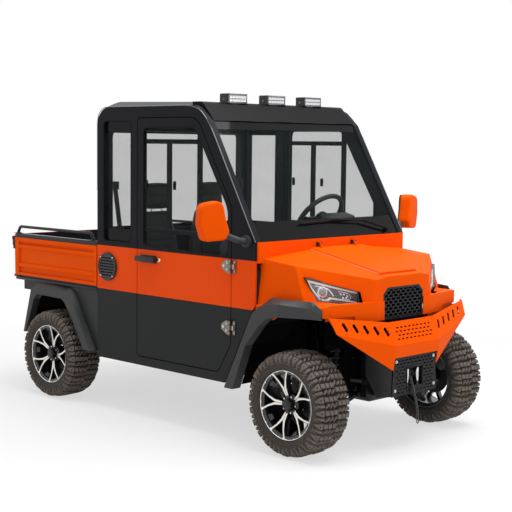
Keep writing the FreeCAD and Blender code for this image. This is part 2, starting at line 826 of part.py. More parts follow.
def front_bumper():
    """Folded steel plate: slotted wings, perforated middle and the deep lower wings."""
    back = V(-bumper_plate, 0, 0)
    wing = prism([wing_top, kink_top, crease, wing_low], back)
    lower = prism([wing_low, crease, tip], back)
    turned = prism([rear_tip, wing_top, wing_low], V(-4, -5, 0))
    half = fused([wing, lower, turned])
    mirror_kink = V(kink_top.x, -kink_top.y, kink_top.z)
    mirror_crease = V(crease.x, -crease.y, crease.z)
    mirror_top = V(plate_top.x, -plate_top.y, plate_top.z)
    centre = prism([kink_top, mirror_kink, mirror_crease, crease], back)
    apron = prism([crease, mirror_crease, mirror_top, plate_top], back)
    plate = fused([half, mirrored(half), centre, apron])
    slots = []
    for k in range(5):
        slots += both(slanted_slot(wing_end_y - 87 - k * 70, 727 - k * 11.5, 24, 50, 10))
    for row in range(4):
        z = 632 + row * 20
        for column in range(9):
            y = column * 36 - 162 + (8 if row % 2 else -8)
            slots.append(box(kink_top.x - 56, front_reach + 50, y, y + 22, z, z + 8))
    return plate.cut(Part.makeCompound(slots))


def bumper_arms():
    """Two plates on edge that carry the bumper from the frame's front posts."""
    low = 560.0
    high = 668.0
    back = rail_front_x + seat_gap

    def behind(first, last, z):
        share = (z - first.z) / (last.z - first.z)
        return first.x + share * (last.x - first.x) - bumper_plate - 1

    corners = [(back, low, 0), (behind(plate_top, crease, low), low, 0)]
    corners += [(crease.x - bumper_plate - 1, crease.z, 0), (behind(crease, kink_top, high), high, 0)]
    corners.append((back, high, 0))
    return both(plate_y(corners, rail_y - 22, rail_y - 16))


def winch_plate():
    """Slotted plate under the bumper, and the two cheeks that carry it from the frame."""
    x1 = winch_plate_x
    x0 = x1 - 6
    front = plate_x([(-188, 530, 0), (188, 530, 0), (204, 311, 0), (-204, 311, 0)], x0, x1)
    rail_side = rail_y - rail_size / 2 - seat_gap
    back = rail_front_x + seat_gap
    end = x0 - seat_gap
    cheek = plate_y([(back, 300, 0), (end, 311, 0), (end, 525, 0), (back, 500, 0)], rail_side - 6, rail_side)
    window = box(x0 - 50, x1 + 50, -fairlead_half, fairlead_half, fairlead_low, fairlead_high)
    return [front.cut(Part.makeCompound([window] + perforations()))] + both(cheek)


def winch():
    """Winch with its drum across the vehicle, and the roller fairlead in front."""
    drum = cylinder(V(winch_x, -75, winch_z), V(winch_x, 75, winch_z), drum_radius)
    motor = cylinder(V(winch_x, 75, winch_z), V(winch_x, 170, winch_z), 38)
    gear = cylinder(V(winch_x, -170, winch_z), V(winch_x, -75, winch_z), 38)
    tray_half = rail_y - rail_size / 2 - 6 - 2 * seat_gap
    tray = box(winch_x - 45, winch_x + 45, -tray_half, tray_half, winch_z - 47, winch_z - 35)
    return fused([drum, motor, gear, tray])


def fairlead():
    """Roller guide set in the plate's window: frame, two upright rollers and a level one."""
    x0 = roller_x - 15
    x1 = winch_plate_x + 3
    y1 = fairlead_half - seat_gap
    z0 = fairlead_low + seat_gap
    z1 = fairlead_high - seat_gap
    pieces = [box(x0, x1, y, y + 4, z0, z1) for y in (-y1, y1 - 4)]
    pieces.append(box(x0, x1 - 12, -y1, y1, z0, z0 + 5))
    pieces.append(box(x0, x1, -y1, y1, z1 - 5, z1))
    pieces += [Part.makeCylinder(11, z1 - z0 - 4, V(roller_x, y, z0 + 2)) for y in (-46, 46)]
    pieces.append(cylinder(V(x0 - 4, -y1 + 1, z0 + 14), V(x0 - 4, y1 - 1, z0 + 14), 9))
    return fused(pieces)


def winch_hook():
    """Thimble between the rollers that ties the drum's rope to the pull strap."""
    run = (strap_route[1] - strap_route[0]).normalize()
    end = strap_route[0] - run * seat_gap
    start = end - run * 16
    drum = cylinder(V(winch_x, -75, winch_z), V(winch_x, 75, winch_z), drum_radius + seat_gap)
    rope = cylinder(V(winch_x + 15, 0, winch_z), start, 5).cut(drum)
    thimble = cylinder(start, end, strap_radius + 2)
    return rope.fuse(thimble).fuse(Part.makeSphere(8, start)).removeSplitter()


def perforations():
    """Short level slots in staggered rows over the winch plate, round the fairlead's window."""
    slots = []
    for row in range(11):
        z = 326 + row * 18
        for column in range(-5, 6):
            y = column * 34 + (8 if row % 2 else -8)
            if abs(y) + 12 > 186:
                continue
            if abs(y) - 12 < fairlead_half + 8 and fairlead_low - 16 < z < fairlead_high + 6:
                continue
            slots.append(box(winch_plate_x - 50, winch_plate_x + 50, y - 11, y + 11, z, z + 7))
    return slots


strap_x = front_reach - 30
strap_route = [
    V(strap_x, -24, 388),
    V(strap_x + 17, -27, 352),
    V(strap_x + 25, -22, 308),
    V(strap_x + 27, -6, 262),
    V(strap_x + 30, 2, 214),
    V(strap_x + 32, 5, 168),
]


def cord_tube(points, radius, name):
    """Tube along straight runs joined by arcs as large as the shorter run allows."""
    edges = []
    start = points[0]
    radii = []
    for i in range(1, len(points) - 1):
        back = points[i - 1] - points[i]
        ahead = points[i + 1] - points[i]
        shorter = min(back.Length, ahead.Length)
        back.normalize()
        ahead.normalize()
        turn = math.pi - back.getAngle(ahead)
        bend = 0.45 * shorter / math.tan(turn / 2)
        radii.append(round(bend, 1))
        reach = 0.45 * shorter
        bisector = (back + ahead).normalize()
        centre = points[i] + bisector * (bend / math.cos(turn / 2))
        first = points[i] + back * reach
        last = points[i] + ahead * reach
        edges.append(Part.makeLine(start, first))
        edges.append(Part.Arc(first, centre - bisector * bend, last).toShape())
        start = last
    edges.append(Part.makeLine(start, points[-1]))
    path = Part.Wire(edges)
    ring = Part.Wire(Part.makeCircle(radius, points[0], points[1] - points[0]))
    body = path.makePipeShell([ring], True, False)
    print(name, "arc radii", radii, "length", round(path.Length, 1))
    print(name, "volume ratio", round(body.Volume / (math.pi * radius * radius * path.Length), 4))
    return body


def strap_loop():
    """Sewn loop at the free end of the winch strap."""
    end = strap_route[-1]
    ring = Part.makeTorus(12, 3, V(end.x, end.y, end.z - seat_gap - 15), V(1, 0.2, 0))
    return ring


def ring_of_points(radius, y, count):
    """Regular polygon about the wheel's axis, at a distance along it."""
    step = 2 * math.pi / count
    return [V(radius * math.cos(k * step), y, radius * math.sin(k * step)) for k in range(count)]


def tread_lug(angle, side):
    """One raised block with a bevelled shoulder, skewed so that the two rows make a herringbone."""
    half = lug_width / 2
    low = tread_radius - 14
    high = math.sqrt(tyre_radius ** 2 - (half + lug_lean) ** 2)
    outer_y = side * (tyre_width / 2 - 8)
    bevel_y = side * (tyre_width / 2 - 30)
    inner_y = side * 9

    def skewed(x, y, z):
        return V(x + lug_lean * (outer_y - y) / (outer_y - inner_y), y, z)

    def end(x):
        corners = [(inner_y, low), (outer_y, low), (outer_y, high - 20), (bevel_y, high), (inner_y, high)]
        return [skewed(x, y, z) for y, z in corners]

    block = loft([end(-half), end(half)])
    block.rotate(V(0, 0, 0), V(0, 1, 0), angle)
    return block


def tyre():
    """Lugged tyre about the Y axis, standing on a block's corner.

    The carcass is made of flat bands and carries two staggered rows of blocks.
    """
    half = tyre_width / 2
    bands = [(102, flange_radius + 8), (half - 1, 236), (half - 20, tread_radius)]
    rings = [ring_of_points(r, -y, carcass_sides) for y, r in bands]
    rings += [ring_of_points(r, y, carcass_sides) for y, r in reversed(bands)]
    carcass = loft(rings)
    step = 360.0 / lug_count
    corner_angle = math.degrees(math.asin((lug_width / 2 + lug_lean) / tyre_radius))
    first = 180 - corner_angle
    lugs = []
    for k in range(lug_count):
        lugs.append(tread_lug(first + k * step, 1))
        lugs.append(tread_lug(first + (k + 0.5) * step, -1))
    bore_radius = (bead_radius + seat_gap) / math.cos(math.pi / carcass_sides)
    bore = loft([ring_of_points(bore_radius, y, carcass_sides) for y in (-tyre_width, tyre_width)])
    return carcass.multiFuse(lugs).cut(bore)


def at_wheel(shape, x, side):
    """Copy of a wheel's piece, drawn for the left, at its place on either side."""
    placed = shape.copy() if side > 0 else mirrored(shape)
    placed.translate(V(x, side * wheel_y, axle_z))
    return placed


def rim():
    """Rim barrel with flanges, hub and five forked spokes near the outer face."""
    barrel = [
        (bead_radius, -rim_half + 1, 0), (bead_radius, rim_half - 1, 0),
        (flange_radius, rim_half - 1 + seat_gap, 0), (flange_radius, rim_half + 5, 3),
        (bead_radius - 6, rim_half + 5, 0), (bead_radius - 6, rim_half - 12, 0),
        (bead_radius - 12, rim_half - 30, 0), (bead_radius - 12, -rim_half + 12, 0),
        (bead_radius - 6, -rim_half + 2, 0), (bead_radius - 6, -rim_half - 5, 0),
        (flange_radius, -rim_half - 5, 3), (flange_radius, -rim_half + 1 - seat_gap, 0),
    ]
    face = Part.Face(outline(barrel, lambda a, b: V(a, b, 0)))
    ring = face.revolve(V(0, 0, 0), V(0, 1, 0), 360)
    pieces = [ring]
    pieces.append(cylinder(V(0, 25, 0), V(0, 68, 0), hub_radius + 22))
    pieces.append(cylinder(V(0, 60, 0), V(0, 88, 0), hub_radius - 4))
    for k in range(spoke_count):
        angle = 360.0 / spoke_count * k + 90
        for fork in (-1, 1):
            arm = spoke_arm(fork)
            arm.rotate(V(0, 0, 0), V(0, 1, 0), angle)
            pieces.append(arm)
    wheel = fused(pieces)
    return wheel.cut(cylinder(V(0, 20, 0), V(0, 58, 0), stub_radius))


def spoke_arm(fork):
    """One arm of a forked spoke: stem to the fork, then out to the rim."""
    fork_radius = 84.0
    spread = math.radians(15.5)
    end_radius = bead_radius - 5

    def section(radius, angle, half, y0, y1):
        out = V(math.cos(angle), 0, math.sin(angle)) * radius
        across = V(-math.sin(angle), 0, math.cos(angle)) * half
        low = V(0, y0, 0)
        high = V(0, y1, 0)
        return [out - across + low, out + across + low, out + across + high, out - across + high]

    root = section(40, fork * 0.12, 9, 48, 76)
    middle = section(fork_radius, fork * 0.105, 8, 52, 80)
    end = section(end_radius, fork * spread, 8.5, 72, 98)
    return loft([root, middle, end])


def knuckle():
    """Front upright on its kingpin, with the stub axle that carries the wheel."""
    x = front_axle_x
    post = box(x - 22, x + 22, kingpin_y - 18, kingpin_y + 18, axle_z - 95, axle_z + 95)
    eyes = [Part.makeCylinder(20, 30, V(x, kingpin_y, axle_z + level)) for level in (-112, 82)]
    stub = cylinder(V(x, kingpin_y + 14, axle_z), V(x, wheel_y + 55, axle_z), stub_radius - 0.05)
    flange = cylinder(V(x, kingpin_y + 14, axle_z), V(x, wheel_y - 22, axle_z), 42)
    arm = box(x - 120, x - 10, kingpin_y - 8, kingpin_y + 8, axle_z - 30, axle_z - 14)
    bore = Part.makeCylinder(kingpin_radius + 0.05, 400, V(x, kingpin_y, axle_z - 200))
    return fused([post, stub, flange, arm] + eyes).cut(bore)


def a_arm(pivot_x, inner_z, outer_z, spread, radius):
    """Two tubes from barrels on the rail's outer face that meet at the upright."""
    inner_y = rail_y + rail_size / 2 + seat_gap + radius + 5
    outer = V(pivot_x, kingpin_y, outer_z)
    legs = []
    for dx in (-spread, spread):
        legs.append(cylinder(V(pivot_x + dx, inner_y, inner_z), outer, radius))
        ends = [V(pivot_x + dx + reach, inner_y, inner_z) for reach in (-22, 22)]
        legs.append(cylinder(ends[0], ends[1], radius + 5))
    legs.append(Part.makeCylinder(15, 18, V(outer.x, outer.y, outer.z - 9)))
    return fused(legs)


def suspension_arms():
    """Upper and lower arms at each corner, and the pin that joins their outer eyes."""
    solids = []
    for x in (front_axle_x, rear_axle_x):
        first = V(x, kingpin_y, axle_z - arm_rise - 12)
        last = V(x, kingpin_y, axle_z + arm_rise + 12)
        bore = cylinder(first, last, kingpin_radius + seat_gap)
        low = a_arm(x, low_arm_z, axle_z - arm_rise, low_arm_spread, low_arm_radius)
        high = a_arm(x, high_arm_z, axle_z + arm_rise, high_arm_spread, high_arm_radius)
        solids += both(low.cut(bore)) + both(high.cut(bore))
        solids += both(cylinder(first, last, kingpin_radius))
    return solids


def rear_uprights():
    """Fixed rear hub carriers with the stubs that carry the rear wheels."""
    x = rear_axle_x
    post = box(x - 26, x + 26, kingpin_y - 20, kingpin_y + 20, axle_z - 114, axle_z + 114)
    stub = cylinder(V(x, kingpin_y + 14, axle_z), V(x, wheel_y + 55, axle_z), stub_radius - 0.05)
    flange = cylinder(V(x, kingpin_y + 14, axle_z), V(x, wheel_y - 22, axle_z), 42)
    bore = Part.makeCylinder(kingpin_radius + seat_gap, 400, V(x, kingpin_y, axle_z - 200))
    return both(fused([post, stub, flange]).cut(bore))


def shock_absorbers():
    """Coil over damper at each corner, from a saddle on the lower arm to the frame's tower."""
    units = []
    for x in (front_axle_x, rear_axle_x):
        low = V(x + damper_shift_x, 430, 196)
        high = V(x + damper_shift_x, tower_outer_y + 12.2, 690)
        along = (high - low).normalize()
        body = cylinder(low + along * 55, high - along * 85, 24)
        ends = [cylinder(low, low + along * 60, 12), cylinder(high - along * 90, high, 12)]
        pivot_y = rail_y + rail_size / 2 + seat_gap + low_arm_radius + 5
        leg_start = V(x + low_arm_spread, pivot_y, low_arm_z)
        leg_end = V(x, kingpin_y, axle_z - arm_rise)
        unit = fused([body] + ends).cut(cylinder(leg_start, leg_end, low_arm_radius + seat_gap))
        solids = sorted(unit.Solids, key=lambda piece: piece.Volume)
        units += both(solids[-1])
    return units


def half_shafts():
    """Drive shafts from the middle out to each hub."""
    shafts = []
    z = axle_z + 6
    for x in (front_axle_x, rear_axle_x):
        shafts += both(cylinder(V(x, drive_half + seat_gap, z), V(x, kingpin_y - 30, z), 12))
    return shafts


def drive_unit():
    """Motor with its reduction gear between the rear wheels, as one plain block."""
    block = box(rear_axle_x - 171, rear_axle_x + 149, -drive_half, drive_half, 235, 480)
    return block.makeFillet(30, block.Edges)


def front_gearcase():
    block = box(front_axle_x - 86, front_axle_x + 94, -drive_half, drive_half, 235, 400)
    return block.makeFillet(25, block.Edges)


def frame_side(side):
    """One long rail with what stands on it, each welded piece as a solid of its own."""
    inner = rail_y - rail_size / 2
    outer = rail_y + rail_size / 2
    low = rail_z - 40
    top = rail_z + 10
    on_rail = top + seat_gap
    rail = box(frame_rear_x, rail_front_x, inner, outer, low, top)
    for x in (front_axle_x, rear_axle_x):
        rail = rail.cut(cylinder(V(x, 0, axle_z + 6), V(x, tower_inner_y, axle_z + 6), 22))
    pieces = [rail]
    for x in (front_axle_x + damper_shift_x, rear_axle_x + damper_shift_x):
        foot = outer + seat_gap
        pieces.append(box(x - 30, x + 30, foot, tower_inner_y - seat_gap, rail_z - 20, rail_z + 5))
        tower = [(x - 90, rail_z, 0), (x + 90, rail_z, 0), (x + 26, tower_top_z, 0), (x - 26, tower_top_z, 0)]
        pieces.append(plate_y(tower, tower_inner_y, tower_outer_y))
    for x in (rear_axle_x - 111, rear_axle_x + 99, front_axle_x - 41, front_axle_x + 44):
        pieces.append(box(x - 15, x + 15, drive_half + seat_gap, inner - seat_gap, rail_z - 30, rail_z))
    for x in (front_axle_x, rear_axle_x):
        seat_x = x - high_arm_spread
        pieces.append(box(seat_x - 18, seat_x + 18, inner, outer, on_rail, high_arm_z + 14))
    seat_x = rear_axle_x + high_arm_spread
    pieces.append(box(seat_x - 18, seat_x + 18, inner, outer, on_rail, high_arm_z + 14))
    for x in (cab_rear_x + 77, 20, cowl_x - 386):
        pieces.append(Part.makeCylinder(22, floor_z - seat_gap - on_rail, V(x, rail_y, on_rail)))
    prop_x = bed_front_x - 82
    pieces.append(box(prop_x, prop_x + 30, inner, outer, on_rail, bed_floor_z - 12 - 2 * seat_gap))
    rear_end = frame_rear_x + frame_tube
    pieces.append(box(frame_rear_x, rear_end, inner, outer, on_rail, rear_cross_z - seat_gap))
    pieces.append(box(rail_front_x - frame_tube, rail_front_x, inner, outer, on_rail, 700))
    return [sides(p, side) for p in pieces]


def chassis_frame():
    """Two rails with cross members, towers for the dampers and the rear drawbar, as separate solids."""
    pieces = frame_side(1) + frame_side(-1)
    between = rail_y - rail_size / 2 - seat_gap
    for x in (frame_rear_x, bed_front_x - 52, 60, cowl_x - 166, rail_front_x - frame_tube):
        pieces.append(box(x, x + frame_tube, -between, between, rail_z - 36, rail_z + 6))
    across = tower_inner_y - seat_gap
    for x in (front_axle_x + damper_shift_x, rear_axle_x + damper_shift_x):
        pieces.append(box(x - 20, x + 20, -across, across, tower_top_z - 35, tower_top_z - 3))
    pieces.append(box(rail_front_x - frame_tube, rail_front_x, -between, between, 600, 640))
    half = rear_cross_half
    pieces.append(box(frame_rear_x, frame_rear_x + frame_tube, -half, half, rear_cross_z, rear_cross_z + 28))
    draw = box(tail_x, frame_rear_x - seat_gap, -38, 38, hitch_z, hitch_z + 12)
    pieces.append(draw.cut(Part.makeCylinder(hitch_radius, 40, V(hitch_x, 0, hitch_z - 10))))
    return pieces + bed_hinge()


def floor_pan():
    """Cab floor, toe board and the bulkhead ahead of the feet."""
    rear = cab_rear_x + wall_rear + seat_gap
    toe_x = cowl_x - 254
    knee_x = cowl_x - 124
    top = cowl_z - 116
    path = [(rear, floor_z), (toe_x, floor_z), (knee_x, 470), (bulkhead_x, 700), (bulkhead_x, top)]
    thick = floor_thick
    moved = [(bulkhead_x - thick, top), (bulkhead_x - thick, 704), (knee_x - thick, 478)]
    moved += [(toe_x - 6, floor_z + thick), (rear, floor_z + thick)]
    return plate_y([(x, z, 0) for x, z in path + moved], -pane_half, pane_half)


def dashboard():
    """Dash with its hooded instrument, across the cab under the windscreen."""
    half = body_half - side_wall - gap
    front = bulkhead_x - floor_thick - seat_gap
    rear = cowl_x - 346
    top = cowl_z - 6
    profile = [
        (front, 900, 0), (front, top, 10), (rear + 240, top + 36, 30), (rear + 40, top + 26, 40),
        (rear, 1100, 30), (rear + 40, 960, 30), (rear + 120, 900, 20),
    ]
    dash = plate_y(list(reversed(profile)), -half, half)
    hood = plate_y([(rear + 40, top + 10, 0), (rear + 200, top + 10, 0), (rear + 200, top + 76, 20),
                    (rear + 68, top + 90, 20)], wheel_centre.y - 110, wheel_centre.y + 110)
    bore = cylinder(wheel_centre, wheel_centre - column_axis * 110, shaft_radius + 0.05)
    return fused([dash, hood, steering_column()]).cut(bore)


wheel_centre = V(cowl_x - 366, 280, 1247)
column_axis = V(-0.80, 0, 0.60)


def steering_wheel():
    """Rim, three spokes and boss on the column axis."""
    rim_ring = Part.makeTorus(steering_radius, 14, V(0, 0, 0), V(0, 0, 1))
    boss = Part.makeCylinder(52, 34, V(0, 0, -26))
    pieces = [rim_ring, boss]
    for angle in (0, 180, 270):
        spoke = box(30, steering_radius - 4, -16, 16, -14, -4)
        spoke.rotate(V(0, 0, 0), V(0, 0, 1), angle)
        pieces.append(spoke)
    pieces.append(Part.makeCylinder(22, column_gap, V(0, 0, -column_gap)))
    pieces.append(Part.makeCylinder(shaft_radius, column_gap + 40, V(0, 0, -column_gap - 40)))
    wheel = fused(pieces)
    wheel.Placement = FreeCAD.Placement(wheel_centre, FreeCAD.Rotation(V(0, 0, 1), column_axis))
    return wheel


def steering_column():
    """Fixed shroud between the wheel and the dash."""
    start = wheel_centre - column_axis * (column_gap + gap)
    end = wheel_centre - column_axis * 170
    return cylinder(start, end, 30)


def seat_base():
    """Moulded box across the cab that carries both seats."""
    half = body_half - side_wall - gap
    rear = cab_rear_x + 42
    low = floor_z + floor_thick + seat_gap
    front = cab_rear_x + 597
    profile = [(rear, low, 0), (front, low, 0), (front + 30, seat_top_z, 30), (rear, seat_top_z, 0)]
    return plate_y(profile, -half, half)


def seat_cushions():
    cushions = []
    rear = cab_rear_x + 123
    low = seat_top_z + 0.6
    front = cab_rear_x + 629
    for y in (-seat_y, seat_y):
        profile = [(rear, low, 0), (front, low, 0), (front + 20, seat_top_z + 60, 30)]
        profile += [(front - 12, seat_top_z + 116, 40), (rear + 4, seat_top_z + 100, 0)]
        body = plate_y(profile, y - 215, y + 215)
        cushions.append(body.makeFillet(18, [e for e in body.Edges if abs(e.CenterOfMass.y - y) > 210]))
    return cushions


def seat_backs():
    """Backs with sloping shoulders, each with its headrest on top."""
    backs = []
    back = cab_rear_x + wall_rear + seat_gap
    face = cab_rear_x + 105
    for y in (-seat_y, seat_y):
        foot = seat_top_z + 10
        profile = [(back, foot, 0), (face, foot, 0), (face + 12, foot + 110, 20)]
        profile += [(face - 4, foot + 610, 25), (back, foot + 620, 20)]
        low = plate_y(profile, y - 205, y + 205)
        for side in (1, -1):
            slope = [(y + side * 300, foot + 250), (y + side * 205, foot + 250)]
            slope += [(y + side * 120, foot + 650), (y + side * 300, foot + 650)]
            low = low.cut(plate_x(slope, back - 80, back + 220))
        neck = foot + 612
        profile = [(face - 48, neck, 0), (face + 4, neck, 0), (face + 22, neck + 68, 20)]
        profile += [(face + 2, neck + 194, 22), (face - 48, neck + 194, 20)]
        head = plate_y(profile, y - 105, y + 105)
        backs.append(low.fuse(head).removeSplitter())
    return backs


mirror_centre = V(cowl_x - 133, body_half + 214, 1279)
mirror_arm_route = [
    V(cowl_x - 66, body_half + 10, mirror_foot_z), V(cowl_x - 74, body_half + 59, mirror_foot_z + 6),
    V(cowl_x - 128, body_half + 119, mirror_foot_z + 36),
]


def mirror_housings():
    """Round cornered housing turned out from the cab, socketed over its arm."""
    outline_yz = [(-96, -62, 34), (-72, -106, 30), (58, -114, 34), (86, -20, 60), (78, 92, 44)]
    outline_yz += [(-52, 116, 44), (-74, 10, 50)]
    body = plate_x(outline_yz, -34, 46)
    shell = body.makeFillet(14, [e for e in body.Edges if abs(e.tangentAt(e.FirstParameter).x) < 0.1])
    shell.rotate(V(0, 0, 0), V(0, 0, 1), 20)
    shell.translate(mirror_centre)
    return shell.cut(tube(mirror_arm_route, mirror_arm_radius + seat_gap, 20))


def mirror_arms():
    """Round foot on the windscreen pillar and the arm to the housing."""
    x = mirror_arm_route[0].x
    foot = cylinder(V(x, body_half + seat_gap, mirror_foot_z), V(x, body_half + 16, mirror_foot_z), 34)
    arm = tube(mirror_arm_route, mirror_arm_radius, 20)
    return fused([foot, arm])


def on_screen(y, z, proud):
    """Point proud of the windscreen at a side position and height."""
    lean = V(pillar_top_x - cowl_x, 0, pillar_top_z - cowl_z).normalize()
    normal = V(lean.z, 0, -lean.x)
    return V(pillar_line(z), y, z) + normal * proud


def wiper():
    """Single wiper: spindle by the left pillar, cranked arm, and the blade it carries."""
    y = body_half - 155
    z = cowl_z + 27
    spindle = cylinder(on_screen(y, z, -5.5), on_screen(y, z, 20), 14)
    arm_low = cylinder(on_screen(y, z, 16), on_screen(302, z + 53, 20), 7)
    arm_high = cylinder(on_screen(302, z + 53, 20), on_screen(18, z + 69, 14), 5)
    blade = cylinder(on_screen(236, z + 73, 6), on_screen(-250, z + 57, 6), 6)
    bridge = cylinder(on_screen(18, z + 69, 14), on_screen(18, z + 67, 6), 6)
    return fused([spindle, arm_low, arm_high, blade, bridge])


def side_vent():
    """Round louvred cover on the cab's rear quarter."""
    base = body_half + seat_gap
    disc = cylinder(V(vent_x, base, vent_z), V(vent_x, base + 14, vent_z), vent_radius)
    for k in range(7):
        z = vent_z - 54 + k * 18
        reach = math.sqrt((vent_radius - 16) ** 2 - (z - vent_z) ** 2)
        disc = disc.cut(box(vent_x - reach, vent_x + reach, base + 5, base + 30, z - 4, z + 4))
    return disc


def bed_tub():
    """Open load box: floor, two sides and the front wall, with a sill under it."""
    rear = bed_rear_x
    outer_half = bed_half - 10
    inner_half = outer_half - bed_wall
    outer = box(rear, bed_front_x, -outer_half, outer_half, bed_low_z, bed_top_z)
    inner = box(rear - 50, bed_front_x - bed_wall, -inner_half, inner_half, bed_floor_z, bed_top_z + 50)
    under = box(rear + 30, bed_front_x - 30, -bed_half + 50, bed_half - 50, bed_low_z - 10, bed_floor_z - 12)
    tub = outer.cut(inner).cut(under)
    lip = box(rear, bed_front_x, inner_half - 2, bed_half, bed_top_z - 26, bed_top_z)
    ears = []
    holes = []
    for y in (-bed_pivot_y, bed_pivot_y):
        ears.append(box(bed_pivot_x - 17, bed_pivot_x + 17, y - 6, y + 6, bed_pivot_z - 14, bed_floor_z - 6))
        middle = V(bed_pivot_x, y, bed_pivot_z)
        holes.append(cylinder(middle - V(0, 20, 0), middle + V(0, 20, 0), bed_pin_radius + 0.05))
    ear_end = bed_half - 1.5
    gate_ear = box(gate_pivot_x - 9, rear + 40, bed_half - 8, ear_end, gate_pivot_z - 8, gate_pivot_z + 8)
    foot = box(rear, rear + 40, bed_half - 14, ear_end, gate_pivot_z - 6, gate_pivot_z + 8)
    tub = fused([tub] + both(lip) + ears + both(gate_ear.fuse(foot)))
    across = V(0, bed_half + 50, 0)
    pivot = V(gate_pivot_x, 0, gate_pivot_z)
    holes.append(cylinder(pivot - across, pivot + across, gate_pin_radius + 0.05))
    for hole in holes:
        tub = tub.cut(hole)
    return tub


def bed_hinge():
    """Pins and ears on the rear cross member that the bed tips on."""
    pieces = []
    low = rear_cross_z + 28 + seat_gap
    for y in (-bed_pivot_y, bed_pivot_y):
        first = V(bed_pivot_x, y - 30, bed_pivot_z)
        last = V(bed_pivot_x, y + 30, bed_pivot_z)
        pieces.append(cylinder(first, last, bed_pin_radius))
        bore = cylinder(first, last, bed_pin_radius + seat_gap)
        for dy in (-20, 20):
            ear = box(bed_pivot_x - 16, bed_pivot_x + 16, y + dy - 5, y + dy + 5, low, bed_pivot_z + 14)
            pieces.append(ear.cut(bore))
    return pieces


def bed_side_panels():
    """Coloured side skins with two pressed ribs each."""
    low = bed_low_z + 17
    high = bed_top_z - 26 - seat_gap
    panel = box(bed_rear_x, bed_front_x, bed_half - 10 + seat_gap, bed_half - 1, low, high)
    start = bed_rear_x + 42
    end = bed_front_x - 26
    panel = panel.cut(box(start, end, bed_half - 7, bed_half + 5, low + 19, bed_top_z - 50))
    ribs = [box(start, end, bed_half - 8, bed_half - 2, z - 12, z + 12) for z in bed_rib_z]
    return both(fused([panel] + ribs))


def bed_rails():
    """Grab rail along the top of each bed side, its slanted ends cut off on the bed's top."""
    y = bed_half - 17
    low = bed_top_z - 19
    high = bed_top_z + 49
    start = bed_rear_x - 10
    end = bed_front_x - 38
    points = [V(start, y, low), V(start + 42, y, high), V(end - 44, y, high), V(end, y, low)]
    under = box(start - 50, end + 50, y - 50, y + 50, low - 50, bed_top_z + seat_gap)
    return both(tube(points, 10, 26).cut(under))


def tailgate():
    """Coloured gate with two pressed ribs, hinged along its lower edge."""
    x0 = tail_x + gap
    x1 = x0 + tailgate_thick - 8
    half = bed_half - 12
    gate = box(x0, x1, -half, half, gate_pivot_z - 2, bed_top_z - 4)
    recess = box(x0 - 5, x0 + 6, -half + 40, half - 40, gate_pivot_z + 26, bed_top_z - 34)
    gate = gate.cut(recess)
    ribs = [box(x0 + 1, x0 + 8, -half + 40, half - 40, z - 12, z + 12) for z in bed_rib_z]
    pins = [cylinder(V(gate_pivot_x, y, gate_pivot_z), V(gate_pivot_x, y + 11, gate_pivot_z), gate_pin_radius)
            for y in (-half - 11, half)]
    return fused([gate] + ribs + pins)


def tailgate_latches():
    """Over-centre latches at the gate's upper corners."""
    y = bed_half - 68
    return both(box(tail_x, tail_x + gap - seat_gap, y - 22, y + 22, bed_top_z - 84, bed_top_z - 19))


def rear_bumper():
    """Tube bumper across the back with its two stays, under the bed."""
    bar_z = 600
    end_x = frame_rear_x + frame_tube
    bar_x = tail_x + 34
    corners = [V(end_x, -520, bar_z), V(bar_x, -480, bar_z), V(bar_x, 480, bar_z), V(end_x, 520, bar_z)]
    stays = [box(bar_x + 16, frame_rear_x - seat_gap, y - 20, y + 20, bar_z - 25, bar_z + 25)
             for y in (-rail_y, rail_y)]
    return fused([tube(corners, 19, 45)] + stays)


def rear_lamps():
    """Oblong tail lamps on the rear cross member."""
    y = rear_cross_half - 80
    low = rear_cross_z + 2
    lamp = box(frame_rear_x - 22, frame_rear_x - seat_gap, y - 70, y + 70, low, low + 46)
    return both(lamp.makeFillet(8, [e for e in lamp.Edges if abs(e.tangentAt(e.FirstParameter).x) > 0.9]))


def bonnet_hinges():
    """Two fixed hinges at the cowl: a pair of ears each, with the pin between them."""
    hinges = []
    x = bonnet_hinge_x
    z = bonnet_hinge_z
    for y in (-bonnet_hinge_y, bonnet_hinge_y):
        ears = [box(cowl_x + 12 + seat_gap, x + 8, y + dy - 4, y + dy + 4, z - 14, z + 8) for dy in (-12, 12)]
        pin = cylinder(V(x, y - 14, z), V(x, y + 14, z), hinge_pin_radius)
        hinges.append(fused(ears + [pin]))
    return hinges


